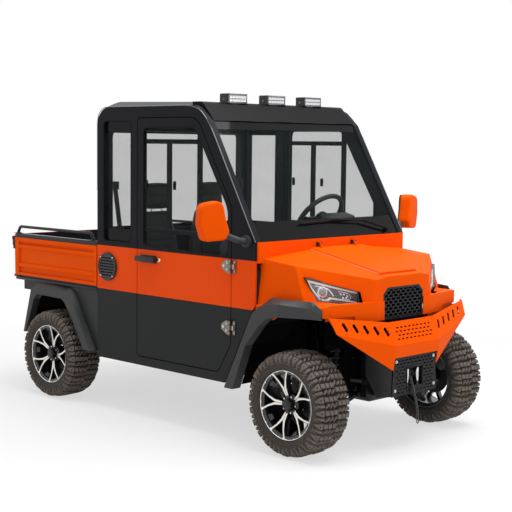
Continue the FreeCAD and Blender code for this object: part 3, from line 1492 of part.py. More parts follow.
def build():
    os.makedirs("parts", exist_ok=True)
    save("chassis_frame", chassis_frame())
    save("floor_pan", [floor_pan()])
    tyre_shape = tyre()
    rim_shape = rim()
    for side, name in ((1, "left"), (-1, "right")):
        save("cab_side_" + name, [sides(cab_side(), side)])
        save("door_shell_" + name, [sides(door_shell(), side)])
        save("door_glass_" + name, [sides(door_glass(), side)])
        save("door_hardware_" + name, [sides(p, side) for p in [door_handle()] + door_hinges()])
        save("knuckle_" + name, [sides(knuckle(), side)])
        for axle, x in (("front", front_axle_x), ("rear", rear_axle_x)):
            save("tyre_" + axle + "_" + name, [at_wheel(tyre_shape, x, side)])
            save("rim_" + axle + "_" + name, [at_wheel(rim_shape, x, side)])
    save("rear_wall", [rear_wall()])
    save("cab_windows", [rear_glass()] + both(quarter_glass()))
    save("roof_panel", [roof_panel()])
    save("roof_visor", [roof_visor()])
    save("windscreen", [windscreen()])
    save("roof_lamps", roof_lamps() + roof_lamp_lenses())
    save("hinge_brackets", [q for p in hinge_brackets() for q in both(p)] + bonnet_hinges())
    save("front_body", [front_body()])
    save("bonnet_lid", [bonnet_lid()])
    save("grille", [grille()])
    save("headlamps", both(headlamp()))
    save("front_flares", both(front_flare()))
    rear_flare = flare(rear_flare_body, rear_flare_outer, rear_flare_inner, rear_root_y, rear_flare_outer_y)
    save("rear_flares", both(rear_flare))
    save("rear_side_panels", both(rear_side_panel()))
    save("arch_liners", arch_liners())
    save("front_bumper", [front_bumper()])
    save("winch_plate", winch_plate() + bumper_arms())
    save("winch", [winch(), fairlead()])
    save("winch_strap", [cord_tube(strap_route, strap_radius, "winch strap")])
    save("strap_fittings", [winch_hook(), strap_loop()])
    save("suspension_arms", suspension_arms())
    save("rear_uprights", rear_uprights())
    save("shock_absorbers", shock_absorbers())
    save("drive_unit", [drive_unit(), front_gearcase()] + half_shafts())
    save("dashboard", [dashboard()])
    save("steering_wheel", [steering_wheel()])
    save("seat_base", [seat_base()])
    save("seat_cushions", seat_cushions())
    save("seat_backs", seat_backs())
    save("mirror_housings", both(mirror_housings()))
    save("mirror_arms", both(mirror_arms()))
    save("wiper", [wiper()])
    save("side_vents", both(side_vent()))
    save("bed_tub", [bed_tub()])
    save("bed_side_panels", bed_side_panels())
    save("bed_rails", bed_rails())
    save("tailgate", [tailgate()] + tailgate_latches())
    save("rear_bumper", [rear_bumper()])
    save("rear_lamps", rear_lamps())


build()
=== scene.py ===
# %% [markdown]
# A side by side utility vehicle, dressed for its portrait. The imported CAD model is the frame: it holds
# the sizes and the joints. This lesson adds what a CAD solid leaves out, such as tread blocks, forked
# spokes, stuffed seats and paint, and it prints what each step made.

# %% Load the frame
from math import cos, exp, hypot, pi, radians, sin, sqrt

import bmesh
import bpy
from mathutils import Matrix, Vector
from mathutils.bvhtree import BVHTree


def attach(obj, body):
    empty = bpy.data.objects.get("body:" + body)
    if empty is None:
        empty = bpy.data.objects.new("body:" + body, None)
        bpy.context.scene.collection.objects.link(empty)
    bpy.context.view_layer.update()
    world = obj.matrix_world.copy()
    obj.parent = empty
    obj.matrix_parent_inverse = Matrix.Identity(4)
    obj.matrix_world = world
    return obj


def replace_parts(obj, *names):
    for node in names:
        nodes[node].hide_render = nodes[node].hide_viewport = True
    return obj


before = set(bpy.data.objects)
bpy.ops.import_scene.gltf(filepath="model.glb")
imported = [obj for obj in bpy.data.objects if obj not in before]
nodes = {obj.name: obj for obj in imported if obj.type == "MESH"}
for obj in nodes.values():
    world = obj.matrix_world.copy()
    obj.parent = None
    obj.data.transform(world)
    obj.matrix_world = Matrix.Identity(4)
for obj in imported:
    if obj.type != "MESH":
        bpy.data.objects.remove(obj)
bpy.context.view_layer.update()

scene = bpy.context.scene

# %% [markdown]
# The camera stands where the photographer stood: low, off the front right corner. Its place and lens came
# from matching the wheels, the doors and the bumper. The picture's middle lies a little above the lens
# axis, as in a cropped photograph, and a small shift of the lens says that better than a tilt would.

# %% The photographer's camera
picture_width, focal_pixels, shift_pixels, sensor_mm = 512, 1209.43, 8.36, 36.0
camera_place = Vector((5.589, -5.43, 1.7))
camera_heading = radians(134.6955)
camera_tilt = radians(-5.6573)
camera_roll = radians(0.6529)
forward = Vector((cos(camera_tilt) * cos(camera_heading),
                  cos(camera_tilt) * sin(camera_heading), sin(camera_tilt)))
level = Vector((sin(camera_heading), -cos(camera_heading), 0))
upright = level.cross(forward)
across = level * cos(camera_roll) + upright * sin(camera_roll)
upward = upright * cos(camera_roll) - level * sin(camera_roll)

lens = bpy.data.cameras.new("portrait_lens")
lens.sensor_width = sensor_mm
lens.lens = focal_pixels / picture_width * sensor_mm
lens.shift_y = shift_pixels / picture_width
lens.clip_end = 100
camera = bpy.data.objects.new("portrait_camera", lens)
camera.matrix_world = Matrix.Translation(camera_place) @ Matrix((across, upward,
        -forward)).transposed().to_4x4()
scene.collection.objects.link(camera)
scene.camera = camera
print("camera lens", round(lens.lens, 1), "mm at", [round(v, 2) for v in camera_place])

# %% [markdown]
# The studio is plain: a large pale floor, an even white surround and broad soft lamps. The colour in the
# picture then comes from the paint and not from the light. What the camera, a mirror or a pane sees of the
# surround is plain white, while the light that it gives stays lower, so that white never burns the paint.

# %% White surround
scene.view_settings.view_transform = "Standard"
light_given, light_shown = 0.6, 1.0


def shown_plain(tree):
    """1 for rays that show the background: to the camera, in a mirror and through glass."""
    path = tree.nodes.new("ShaderNodeLightPath")
    total = path.outputs["Is Camera Ray"]
    for kind in ("Is Glossy Ray", "Is Transmission Ray"):
        either = tree.nodes.new("ShaderNodeMath")
        either.operation = "MAXIMUM"
        tree.links.new(total, either.inputs[0])
        tree.links.new(path.outputs[kind], either.inputs[1])
        total = either.outputs[0]
    return total


surround = bpy.data.worlds.new("studio_surround")
surround.use_nodes = True
scene.world = surround
sky = surround.node_tree
sky.nodes["Background"].inputs["Color"].default_value = (1.0, 1.0, 1.0, 1.0)
sky.nodes["Background"].inputs["Strength"].default_value = light_given
plain = sky.nodes.new("ShaderNodeBackground")
plain.inputs["Color"].default_value = (1.0, 1.0, 1.0, 1.0)
plain.inputs["Strength"].default_value = light_shown
pick = sky.nodes.new("ShaderNodeMixShader")
sky.links.new(shown_plain(sky), pick.inputs[0])
sky.links.new(sky.nodes["Background"].outputs[0], pick.inputs[1])
sky.links.new(plain.outputs[0], pick.inputs[2])
sky.links.new(pick.outputs[0], sky.nodes["World Output"].inputs[0])

print("surround lit at", light_given, "and shown at", light_shown)

# %% Floor
floor_radius, floor_corners = 9, 64
floor_mesh = bpy.data.meshes.new("studio_floor")
turns = [2 * pi * k / floor_corners for k in range(floor_corners)]
rim = [(floor_radius * cos(a), floor_radius * sin(a), -0.001) for a in turns]
floor_mesh.from_pydata(rim, [], [tuple(range(floor_corners))])
studio_floor = bpy.data.objects.new("studio_floor", floor_mesh)
scene.collection.objects.link(studio_floor)
floor_paint = bpy.data.materials.new("floor_paper")
floor_paint.use_nodes = True
paper = floor_paint.node_tree
paper.nodes["Principled BSDF"].inputs["Base Color"].default_value = (0.86, 0.86, 0.86, 1.0)
paper.nodes["Principled BSDF"].inputs["Roughness"].default_value = 1.0
paper.nodes["Principled BSDF"].inputs["Specular IOR Level"].default_value = 0.0
spot = paper.nodes.new("ShaderNodeTexCoord")
reach = paper.nodes.new("ShaderNodeVectorMath")
reach.operation = "LENGTH"
outward = paper.nodes.new("ShaderNodeMapRange")
outward.interpolation_type = "SMOOTHSTEP"
for socket, value in (("From Min", 1.6), ("From Max", 4.6), ("To Min", 0.62), ("To Max", 1.0)):
    outward.inputs[socket].default_value = value
share = paper.nodes.new("ShaderNodeMath")
share.operation = "MULTIPLY"
white = paper.nodes.new("ShaderNodeEmission")
blend = paper.nodes.new("ShaderNodeMixShader")
for start, end in ((spot.outputs["Object"], reach.inputs[0]),
                   (reach.outputs["Value"], outward.inputs["Value"]),
                   (outward.outputs["Result"], share.inputs[0]), (shown_plain(paper), share.inputs[1]),
                   (share.outputs[0], blend.inputs[0]),
                   (paper.nodes["Principled BSDF"].outputs[0], blend.inputs[1]),
                   (white.outputs[0], blend.inputs[2]),
                   (blend.outputs[0], paper.nodes["Material Output"].inputs[0])):
    paper.links.new(start, end)
floor_mesh.materials.append(floor_paint)
print("floor", 2 * floor_radius, "m across")


# %% Lamps
def soft_lamp(name, place, aim, size, power):
    """A square area lamp that looks at a point."""
    light = bpy.data.lights.new(name, "AREA")
    light.size = size
    light.energy = power
    holder = bpy.data.objects.new(name, light)
    holder.location = place
    holder.rotation_mode = "QUATERNION"
    holder.rotation_quaternion = (Vector(aim) - Vector(place)).to_track_quat("-Z", "Y")
    scene.collection.objects.link(holder)
    return holder


soft_lamp("overhead_lamp", (1.2, 0.3, 5.4), (0.3, 0, 0.9), 4.5, 300)
soft_lamp("front_lamp", (6.0, 1.2, 2.8), (0.8, 0, 0.7), 3.0, 14)
print("lamps placed")

# %% [markdown]
# Every finish is a small shader graph. Written out by hand, each sum costs four lines, so one class wraps
# a socket and lets Python's own signs add the Math nodes. A second class holds one paint: it makes the
# shader, hands out the piece's own coordinates and has one method that adds any other node.

# %% A socket that does sums
class Wire:
    """An output socket that can be added, multiplied and compared."""

    def __init__(self, paint, socket):
        self.paint = paint
        self.socket = socket

    def math(self, operation, other=0.0, swap=False):
        pair = (other, self) if swap else (self, other)
        return self.paint.node("ShaderNodeMath", {"operation": operation}, {0: pair[0], 1: pair[1]})

    def __add__(self, other):
        return self.math("ADD", other)

    def __sub__(self, other):
        return self.math("SUBTRACT", other)

    def __rsub__(self, other):
        return self.math("SUBTRACT", other, swap=True)

    def __mul__(self, other):
        return self.math("MULTIPLY", other)

    def __gt__(self, other):
        return self.math("GREATER_THAN", other)

    def __lt__(self, other):
        return self.math("LESS_THAN", other)

    __radd__ = __add__
    __rmul__ = __mul__


# %% A paint that makes nodes
sockets = {"specular": "Specular IOR Level", "coat": "Coat Weight", "coat_rough": "Coat Roughness",
           "sheen": "Sheen Weight", "glow": "Emission Color", "glow_strength": "Emission Strength"}


class Paint:
    """One finish: its material, its shader and what feeds it."""

    def __init__(self, name, colour, rough, metal=0.0, **fixed):
        self.material = bpy.data.materials.new(name)
        self.material.use_nodes = True
        self.tree = self.material.node_tree
        self.shader = self.tree.nodes["Principled BSDF"]
        self.colour = (*colour, 1.0)
        self.rough = rough
        self.shader.inputs["Base Color"].default_value = self.colour
        self.shader.inputs["Roughness"].default_value = rough
        self.shader.inputs["Metallic"].default_value = metal
        for word, value in fixed.items():
            self.shader.inputs[sockets[word]].default_value = value
        self.spot = self.node("ShaderNodeTexCoord", out="Object")

    def node(self, kind, settings=None, values=None, out=0):
        """Adds a node: its settings first, then its sockets' values or links."""
        made = self.tree.nodes.new(kind)
        for key, value in (settings or {}).items():
            if key == "stops":
                for stop, (place, shade) in zip(made.color_ramp.elements, value):
                    stop.position = place
                    stop.color = (*shade, 1.0) if isinstance(shade, tuple) else (shade, shade, shade, 1.0)
            else:
                setattr(made, key, value)
        for key, value in (values or {}).items():
            if isinstance(value, Wire):
                self.tree.links.new(value.socket, made.inputs[key])
            else:
                made.inputs[key].default_value = value
        return Wire(self, made.outputs[out])

    def feed(self, socket, wire):
        self.tree.links.new(wire.socket, self.shader.inputs[socket])
        return self

    def axis(self, letter):
        return self.node("ShaderNodeSeparateXYZ", None, {0: self.spot}, letter)

    def noise(self, scale, detail=2.0, stretch=(1, 1, 1)):
        where = self.node("ShaderNodeMapping", None, {"Vector": self.spot, "Scale": stretch})
        return self.node("ShaderNodeTexNoise", None, {"Vector": where, "Scale": scale, "Detail": detail})

    def cells(self, scale, stretch=(1, 1, 1)):
        where = self.node("ShaderNodeMapping", None, {"Vector": self.spot, "Scale": stretch})
        return self.node("ShaderNodeTexVoronoi", None, {"Vector": where, "Scale": scale}, "Distance")

    def mix(self, mask, first, second):
        """Colour one where the mask is 0, colour two where it is 1."""
        ends = {0: mask}
        for key, end in ((6, first), (7, second)):
            ends[key] = end if isinstance(end, Wire) else (*end, 1.0)
        return self.node("ShaderNodeMix", {"data_type": "RGBA"}, ends, 2)

    def band(self, wire, low, high, soft):
        """1 between low and high, with soft ends."""
        rise = self.node("ShaderNodeMapRange", None, {0: wire, 1: low - soft, 2: low + soft})
        fall = self.node("ShaderNodeMapRange", None, {0: wire, 1: high - soft, 2: high + soft})
        return rise * (1 - fall)

    def bump(self, height, strength, distance):
        bent = self.node("ShaderNodeBump", None,
                         {"Height": height, "Strength": strength, "Distance": distance})
        return self.feed("Normal", bent)

    def cloudy(self, spread, scale=3.0):
        """Varies the roughness softly, as handling and dust do."""
        return self.feed("Roughness", self.noise(scale, 4.0) * (2 * spread) + (self.rough - spread))


print("shader classes ready")

# %% [markdown]
# The finishes. The body panels are moulded plastic with a soft sheen and the faint orange peel that
# moulding leaves. The dark panels are satin, the arch mouldings have a fine cast grain, and the frame is
# powder coated, in a black darkened further as painted shade. Most paints differ only in numbers, so one
# recipe makes them: two tones that drift into each other, cloudy gloss and a grain. A few change with
# place. The cab side has bands, black above the belt, orange below it and dark grey at the sill; the bed
# and its gate are orange outside and black inside; and a pane has a printed black border.

# %% Paints by recipe
orange = (0.93, 0.075, 0.001)
orange_tones = ((0.85, 0.082, 0.0004), (0.95, 0.104, 0.0004))
orange_peel = ((160.0, 2.0), 0.035, 0.0012)
dark_grey = (0.024, 0.025, 0.025)
near_black = (0.01, 0.0105, 0.013)
inside_black = (0.014, 0.014, 0.016)
slow_drift = (1.4, 3.0)


def grey(value):
    return (value, value, value)


def finish(name, colour, rough, metal=0.0, tones=None, drift=(3.0,), haze=None, grain=None, pits=None,
           **fixed):
    """A paint that drifts between two tones, with cloudy gloss and a fine grain or pits."""
    paint = Paint(name, colour, rough, metal, **fixed)
    if tones:
        paint.feed("Base Color", paint.mix(paint.noise(*drift), *tones))
    if haze:
        paint.cloudy(*haze)
    if grain:
        paint.bump(paint.noise(*grain[0]), *grain[1:])
    if pits:
        paint.bump(paint.cells(pits[0]), *pits[1:])
    return paint


def two_sided(name, letter, sign, edge):
    """Orange beyond an edge along one axis, black within it."""
    paint = finish(name, orange, 0.34, haze=(0.05, 2.2), grain=orange_peel, coat=0.05,
                   coat_rough=0.05, specular=0.02)
    place = paint.axis(letter)
    outside = (place * sign if sign else place.math("ABSOLUTE")) > edge
    tone = paint.mix(paint.noise(*slow_drift), *orange_tones)
    return paint.feed("Base Color", paint.mix(outside, inside_black, tone))


# %% Body paints
shell_orange = finish("shell_orange", orange, 0.48, tones=orange_tones, drift=slow_drift, haze=(0.05, 2.2),
                      grain=orange_peel, coat=0.02, coat_rough=0.05, specular=0.02)
bed_paint = two_sided("bed_paint", "Y", None, 0.647)
gate_paint = two_sided("gate_paint", "X", -1.0, 1.4905)
# A paler, glossier orange for beads on the lid's edges: a painted highlight along the lid's creases.
crease_highlight_orange = finish("crease_highlight_orange", orange, 0.2, tones=((0.93, 0.16, 0.03), (0.97, 0.24, 0.08)),
                       drift=(9.0, 3.0), haze=(0.05, 8.0), grain=((160.0, 2.0), 0.03, 0.001),
                       coat=1.0, coat_rough=0.1, specular=0.5)
visor_black = finish("visor_black", (0.006, 0.006, 0.007), 0.42, haze=(0.08, 4.0),
                     grain=((200.0, 2.0), 0.02, 0.001), specular=0.06)
panel_grey = finish("panel_grey", dark_grey, 0.42, tones=((0.021, 0.022, 0.022), (0.029, 0.03, 0.03)),
                    drift=(2.0, 3.0), haze=(0.06,), grain=((240.0, 2.0), 0.05, 0.001), coat=0.06,
                    coat_rough=0.25, specular=0.2)
cab_black = finish("cab_black", near_black, 0.3, tones=((0.011, 0.012, 0.015), (0.018, 0.019, 0.023)),
                   drift=(1.8, 3.0), haze=(0.06,), grain=((200.0, 2.0), 0.02, 0.001), coat=0.1,
                   coat_rough=0.12, specular=0.16)
moulded = finish("moulded_grain", (0.028, 0.029, 0.031), 0.52, drift=(5.0, 4.0), haze=(0.07, 4.0),
                 tones=((0.024, 0.025, 0.027), (0.036, 0.037, 0.039)), pits=(900.0, 0.25, 0.0006),
                 specular=0.4)
# Black powder coat, darkened further as painted shade on the frame, arms and winch under the nose.
powder_and_shade = finish("powder_coat_and_shade", (0.012, 0.012, 0.013), 0.45, tones=((0.005, 0.005, 0.006), grey(0.011)),
                drift=(6.0, 5.0), haze=(0.1, 5.0), grain=((420.0, 3.0), 0.18, 0.0008), specular=0.2)
cabin_trim = finish("cabin_trim", (0.018, 0.019, 0.021), 0.6, haze=(0.06,), pits=(700.0, 0.12, 0.0003),
                    tones=((0.014, 0.015, 0.017), (0.024, 0.025, 0.027)))
# Darker than real black plastic: this liner colour paints the shade inside the nose, the arches and the
# vents.
liner_shade_black = finish("liner_shade_black", (0.0012, 0.0012, 0.0014), 0.75, haze=(0.08, 5.0),
                     pits=(500.0, 0.25, 0.0008), specular=0.02)

banded = Paint("cab_bands", orange, 0.32, coat=0.07, coat_rough=0.08, specular=0.05)
height = banded.axis("Z")
skin = banded.axis("Y").math("ABSOLUTE") > 0.65
in_orange = banded.band(height, 0.774, 1.052, 0.0006) * skin
dark = banded.mix((height > 1.0) * 1.0, dark_grey, near_black)
lively = banded.mix(banded.noise(*slow_drift), (0.84, 0.064, 0.0005), (0.95, 0.086, 0.0005))
banded.feed("Base Color", banded.mix(in_orange, dark, lively))
banded.feed("Roughness", 0.4 - in_orange * 0.16 + banded.noise(2.5, 4.0) * 0.06)
banded.bump(banded.noise(180.0, 2.0), 0.02, 0.001)
print("body paints", len(bpy.data.materials))

# %% Metals
gloss_black = finish("gloss_black", (0.008, 0.008, 0.009), 0.22, haze=(0.05,), grain=((120.0,), 0.02, 0.001),
                     coat=0.3, coat_rough=0.05, specular=0.25)
turned_alloy = finish("turned_alloy", (0.86, 0.82, 0.76), 0.34, 0.85, drift=(9.0, 4.0), haze=(0.08, 12.0),
                      tones=((0.78, 0.73, 0.66), (0.92, 0.89, 0.84)),
                      grain=((60.0, 2.0, (1, 30, 1)), 0.05, 0.0006), coat=0.3, coat_rough=0.12)
plated_steel = finish("plated_steel", (0.46, 0.42, 0.36), 0.34, 1.0, drift=(14.0, 5.0), haze=(0.1, 20.0),
                      tones=((0.38, 0.34, 0.29), (0.56, 0.52, 0.46)), grain=((90.0, 3.0), 0.08, 0.0006))
polished = finish("polished_steel", (0.66, 0.66, 0.65), 0.16, 1.0, haze=(0.07, 30.0),
                  grain=((40.0, 2.0, (1, 1, 20)), 0.03, 0.0005))
cast_alloy = finish("cast_alloy", (0.17, 0.17, 0.168), 0.55, 0.7, tones=(grey(0.11), (0.22, 0.22, 0.215)),
                    drift=(8.0, 5.0), haze=(0.1, 7.0), grain=((260.0, 4.0), 0.3, 0.001))
cast_dark = finish("cast_dark", (0.022, 0.022, 0.023), 0.5, 0.5, haze=(0.1, 30.0),
                   grain=((300.0, 3.0), 0.2, 0.0006))
spring_steel = finish("spring_steel", (0.028, 0.028, 0.03), 0.34, 0.3, haze=(0.08, 30.0),
                      grain=((200.0, 3.0), 0.1, 0.0006), coat=0.4)
# A light grey for a thin rod along the cab's edges: a painted highlight on the rounded edge of pillar and
# roof.
edge_highlight_grey = finish("edge_highlight_grey", (0.2, 0.21, 0.23), 0.3, 0.5, haze=(0.06, 20.0))
wheel_black = finish("wheel_black", (0.007, 0.007, 0.008), 0.28, haze=(0.06, 8.0),
                     grain=((140.0,), 0.03, 0.001), coat=0.4, coat_rough=0.12)

hinge_metal = finish("hinge_metal", (0.46, 0.42, 0.36), 0.36, 1.0, haze=(0.08, 20.0),
                     grain=((90.0, 3.0), 0.08, 0.0006))
bare = hinge_metal.band(hinge_metal.axis("X"), 0.3, 0.8, 0.002)
steel_tone = hinge_metal.mix(hinge_metal.noise(14.0, 5.0), (0.17, 0.15, 0.128), (0.29, 0.262, 0.23))
hinge_metal.feed("Base Color", hinge_metal.mix(bare, (0.01, 0.01, 0.011), steel_tone))
hinge_metal.feed("Metallic", bare * 0.9)
print("with metals", len(bpy.data.materials))


# %% Rubber, webbing and vinyl
def tyre_paint(name, clean, dusty):
    """Matt rubber with dust in patches and a fine moulded grain."""
    return finish(name, clean, 0.74, tones=(clean, dusty), drift=(16.0, 6.0), haze=(0.08, 20.0),
                  grain=((330.0, 4.0), 0.25, 0.0008), specular=0.25)


tread_rubber = tyre_paint("tread_blocks", (0.096, 0.078, 0.065), (0.176, 0.147, 0.125))
# The rubber between the blocks is far darker than the blocks: painted shade in the tread's grooves.
gap_shade_rubber = tyre_paint("tread_gap_shade", (0.01, 0.009, 0.008), (0.026, 0.022, 0.019))
wall_rubber = tyre_paint("tyre_wall", (0.036, 0.03, 0.026), (0.066, 0.055, 0.047))
hose_rubber = finish("boot_rubber", grey(0.01), 0.7, haze=(0.1, 10.0), grain=((300.0, 3.0), 0.15, 0.0006),
                     specular=0.1)
handle_black = finish("handle_black", (0.01, 0.01, 0.011), 0.34, haze=(0.06, 20.0),
                      grain=((300.0,), 0.08, 0.0005), specular=0.35)
vinyl = finish("seat_vinyl", (0.03, 0.03, 0.031), 0.5, tones=((0.024, 0.024, 0.025), (0.04, 0.04, 0.041)),
               drift=(6.0, 3.0), haze=(0.06,), pits=(420.0, 0.35, 0.0008), sheen=0.15)
vinyl_welt = finish("vinyl_welt", (0.022, 0.022, 0.023), 0.42, haze=(0.06, 30.0),
                    grain=((400.0,), 0.15, 0.0005))

strap_weave = Paint("strap_weave", (0.016, 0.016, 0.017), 0.8, sheen=0.3)
weave = strap_weave.node("ShaderNodeTexWave", {"bands_direction": "DIAGONAL"},
                         {"Vector": strap_weave.spot, "Scale": 320.0})
strap_weave.feed("Base Color", strap_weave.mix(weave, (0.009, 0.009, 0.01), (0.034, 0.034, 0.036)))
strap_weave.bump(weave, 0.6, 0.0008)
print("with rubber and cloth", len(bpy.data.materials))


# %% Glass and lamps
def pane(name, clear, tint=(0.018, 0.024, 0.024)):
    """Tinted pane with a printed black border; clear gives 1 where one sees through."""
    paint = Paint(name, tint, 0.035, specular=0.1)
    paint.material.surface_render_method = "BLENDED"
    window = clear(paint)
    streak = paint.noise(1.2, 2.0, (1, 1, 4)) * 0.05
    paint.feed("Alpha", 1 - window * (0.86 - streak))
    return paint.feed("Base Color", paint.mix(window, (0.006, 0.006, 0.007), tint))


def screen_clear(paint):
    up = paint.axis("Z")
    edge = 0.634 - (up - 1.25) * 0.02
    return paint.band(up, 1.262, 1.786, 0.001) * (paint.axis("Y").math("ABSOLUTE") < edge)


def door_clear(paint):
    return paint.band(paint.axis("X"), -0.106, 0.64, 0.001) * paint.band(paint.axis("Z"), 1.06, 1.79, 0.001)


def back_clear(paint):
    return paint.band(paint.axis("Z"), 1.165, 1.765, 0.001)


screen_glass = pane("screen_glass", screen_clear)
door_glass = pane("door_glass", door_clear)
back_glass = pane("back_glass", back_clear)

tail_lens = Paint("tail_lens", (0.42, 0.012, 0.01), 0.12, coat=1.0, coat_rough=0.03)
ribs = tail_lens.node("ShaderNodeTexWave", {"bands_direction": "Y"},
                      {"Vector": tail_lens.spot, "Scale": 60.0})
tail_lens.feed("Base Color", tail_lens.mix(ribs, (0.34, 0.008, 0.006), (0.52, 0.02, 0.014)))
tail_lens.bump(ribs, 0.4, 0.001)

lamp_white = finish("lamp_white", (0.8, 0.8, 0.78), 0.25, pits=(160.0, 0.4, 0.001), coat=1.0,
                    coat_rough=0.03, glow=(1, 1, 0.97, 1), glow_strength=0.12)
lamp_chrome = finish("lamp_chrome", (0.78, 0.79, 0.8), 0.12, 1.0, haze=(0.06, 30.0),
                     grain=((50.0,), 0.05, 0.0008))
lamp_black = finish("lamp_black", (0.012, 0.012, 0.013), 0.24, haze=(0.06, 20.0),
                    grain=((200.0,), 0.04, 0.0006), coat=0.3)
lens_glass = finish("lamp_lens", (0.2, 0.21, 0.23), 0.05, 0.6, haze=(0.02, 30.0), coat=1.0,
                    coat_rough=0.02)
lamp_grey = finish("lamp_grey", (0.2, 0.2, 0.21), 0.42, 0.6, haze=(0.08, 20.0),
                   grain=((260.0, 3.0), 0.12, 0.0006))
mirror_glass = finish("mirror_glass", (0.82, 0.84, 0.85), 0.04, 1.0, haze=(0.02, 6.0))
screen_face = finish("instrument_face", (0.012, 0.016, 0.02), 0.12, haze=(0.04, 20.0), coat=0.6)
lamp_cover = Paint("lamp_cover", (0.9, 0.92, 0.93), 0.02, specular=0.7, coat=0.5)
lamp_cover.material.surface_render_method = "BLENDED"
lamp_cover.feed("Alpha", lamp_cover.noise(4.0) * 0.03 + 0.07)
print("all paints", len(bpy.data.materials))

# %% [markdown]
# Most CAD nodes keep their own shape and only get a finish. Real panels have no knife edges: a folded plate
# has a radius and a moulding is round at its rim, and that thin bright line along an edge is what makes a
# picture look solid. A Bevel modifier adds it without touching the mesh. The CAD mesh comes in split along
# its edges, so a Weld goes first, and the bevel's own normals keep the flats flat.

# %% Finish the CAD nodes
front_axle, rear_axle, half_track, hub_height = 1.166, -1.009, 0.617, 0.292
both_sides = (1, -1)
named_sides = ((1, "left"), (-1, "right"))
sharp_angle = radians(28)


def soften(name, width):
    """Rounds a CAD node's sharp edges with modifiers only."""
    piece = nodes[name]
    weld = piece.modifiers.new("weld", "WELD")
    weld.merge_threshold = 0.00002
    bevel = piece.modifiers.new("edge_radius", "BEVEL")
    bevel.width = width
    bevel.segments = 2
    bevel.limit_method = "ANGLE"
    bevel.angle_limit = sharp_angle
    bevel.harden_normals = True
    bevel.use_clamp_overlap = True
    bevel.miter_outer = "MITER_ARC"


# %% Which finish each node gets
finishes = {
    "chassis_frame": (powder_and_shade, 2.0), "floor_pan": (liner_shade_black, 0), "cab_side_left": (banded, 4.0),
    "cab_side_right": (banded, 4.0), "rear_wall": (cab_black, 4.0), "cab_windows": (back_glass, 0),
    "roof_panel": (cab_black, 5.0), "roof_visor": (visor_black, 4.0), "windscreen": (screen_glass, 0),
    "roof_lamps": (gloss_black, 2.0), "hinge_brackets": (hinge_metal, 1.0), "front_body": (shell_orange, 8.0),
    "bonnet_lid": (shell_orange, 7.0), "grille": (cab_black, 0.8), "headlamps": (gloss_black, 1.0),
    "front_flares": (moulded, 5.0), "rear_flares": (moulded, 5.0), "rear_side_panels": (panel_grey, 2.0),
    "arch_liners": (liner_shade_black, 0), "front_bumper": (shell_orange, 2.5), "winch_plate": (powder_and_shade, 0.8),
    "winch": (powder_and_shade, 1.5), "strap_fittings": (strap_weave, 0), "suspension_arms": (powder_and_shade, 0),
    "rear_uprights": (cast_alloy, 2.0), "shock_absorbers": (powder_and_shade, 0), "drive_unit": (cast_dark, 0),
    "dashboard": (cabin_trim, 4.0), "steering_wheel": (cabin_trim, 0), "seat_base": (cabin_trim, 4.0),
    "mirror_housings": (shell_orange, 0), "mirror_arms": (moulded, 0), "wiper": (hose_rubber, 0.8),
    "side_vents": (moulded, 1.0), "bed_tub": (panel_grey, 2.5), "bed_side_panels": (bed_paint, 2.0),
    "bed_rails": (cab_black, 0), "tailgate": (gate_paint, 3.0), "rear_bumper": (cab_black, 0),
    "rear_lamps": (tail_lens, 0), "door_shell_left": (banded, 3.0), "door_shell_right": (banded, 3.0),
    "door_glass_left": (door_glass, 0), "door_glass_right": (door_glass, 0),
    "door_hardware_left": (hinge_metal, 1.0), "door_hardware_right": (hinge_metal, 1.0),
    "knuckle_left": (cast_alloy, 2.0), "knuckle_right": (cast_alloy, 2.0), "winch_strap": (strap_weave, 0),
    "seat_cushions": (vinyl, 6.0), "seat_backs": (vinyl, 6.0),
}
finishes.update({name: (tread_rubber, 0) for name in nodes if name.startswith("tyre")})
finishes.update({name: (turned_alloy, 0) for name in nodes if name.startswith("rim")})
for name, (paint, radius) in finishes.items():
    piece = nodes[name]
    piece.data.materials.clear()
    piece.data.materials.append(paint.material)
    if radius:
        soften(name, radius / 1000)
print("finished", len(finishes), "of", len(nodes), "nodes; bare:", sorted(set(nodes) - set(finishes)))

# %% [markdown]
# Helpers for the pieces that are built here. A prism joins two rings of points, a turning spins a profile
# about a wheel's axle, and the last step of each piece rounds nothing by hand: it smooths every face,
# keeps the edges that fold by more than a set angle, and lets the piece ride on its body.

# %% Rings and turnings
def around(count):
    """Angles of evenly spaced points on a circle."""
    return [2 * pi * j / count for j in range(count)]


def circle(centre, first, second, radius, sides):
    """Ring of points in the plane of two unit vectors."""
    return [centre + (first * cos(a) + second * sin(a)) * radius for a in around(sides)]


def ring_walls(mesh, rings, close=False, caps=True):
    """Skins a row of point rings, and closes its two ends."""
    rows = [[mesh.verts.new(point) for point in ring] for ring in rings]
    count = len(rows[0])
    pairs = list(zip(rows, rows[1:])) + ([(rows[-1], rows[0])] if close else [])
    for first, second in pairs:
        for k in range(count):
            mesh.faces.new((first[k], first[(k + 1) % count], second[(k + 1) % count], second[k]))
    if caps and not close:
        mesh.faces.new(list(reversed(rows[0])))
        mesh.faces.new(rows[-1])
    return rows


def turned(mesh, profile, steps, centre=(0, 0, 0)):
    """Spins (radius, y) points about a line along Y."""
    rows = []
    for angle in around(steps):
        rows.append([mesh.verts.new((centre[0] + r * cos(angle), centre[1] + y,
                                     centre[2] + r * sin(angle)))
                     for r, y in profile])
    for first, second in zip(rows, rows[1:] + rows[:1]):
        for k in range(len(profile) - 1):
            mesh.faces.new((first[k], second[k], second[k + 1], first[k + 1]))


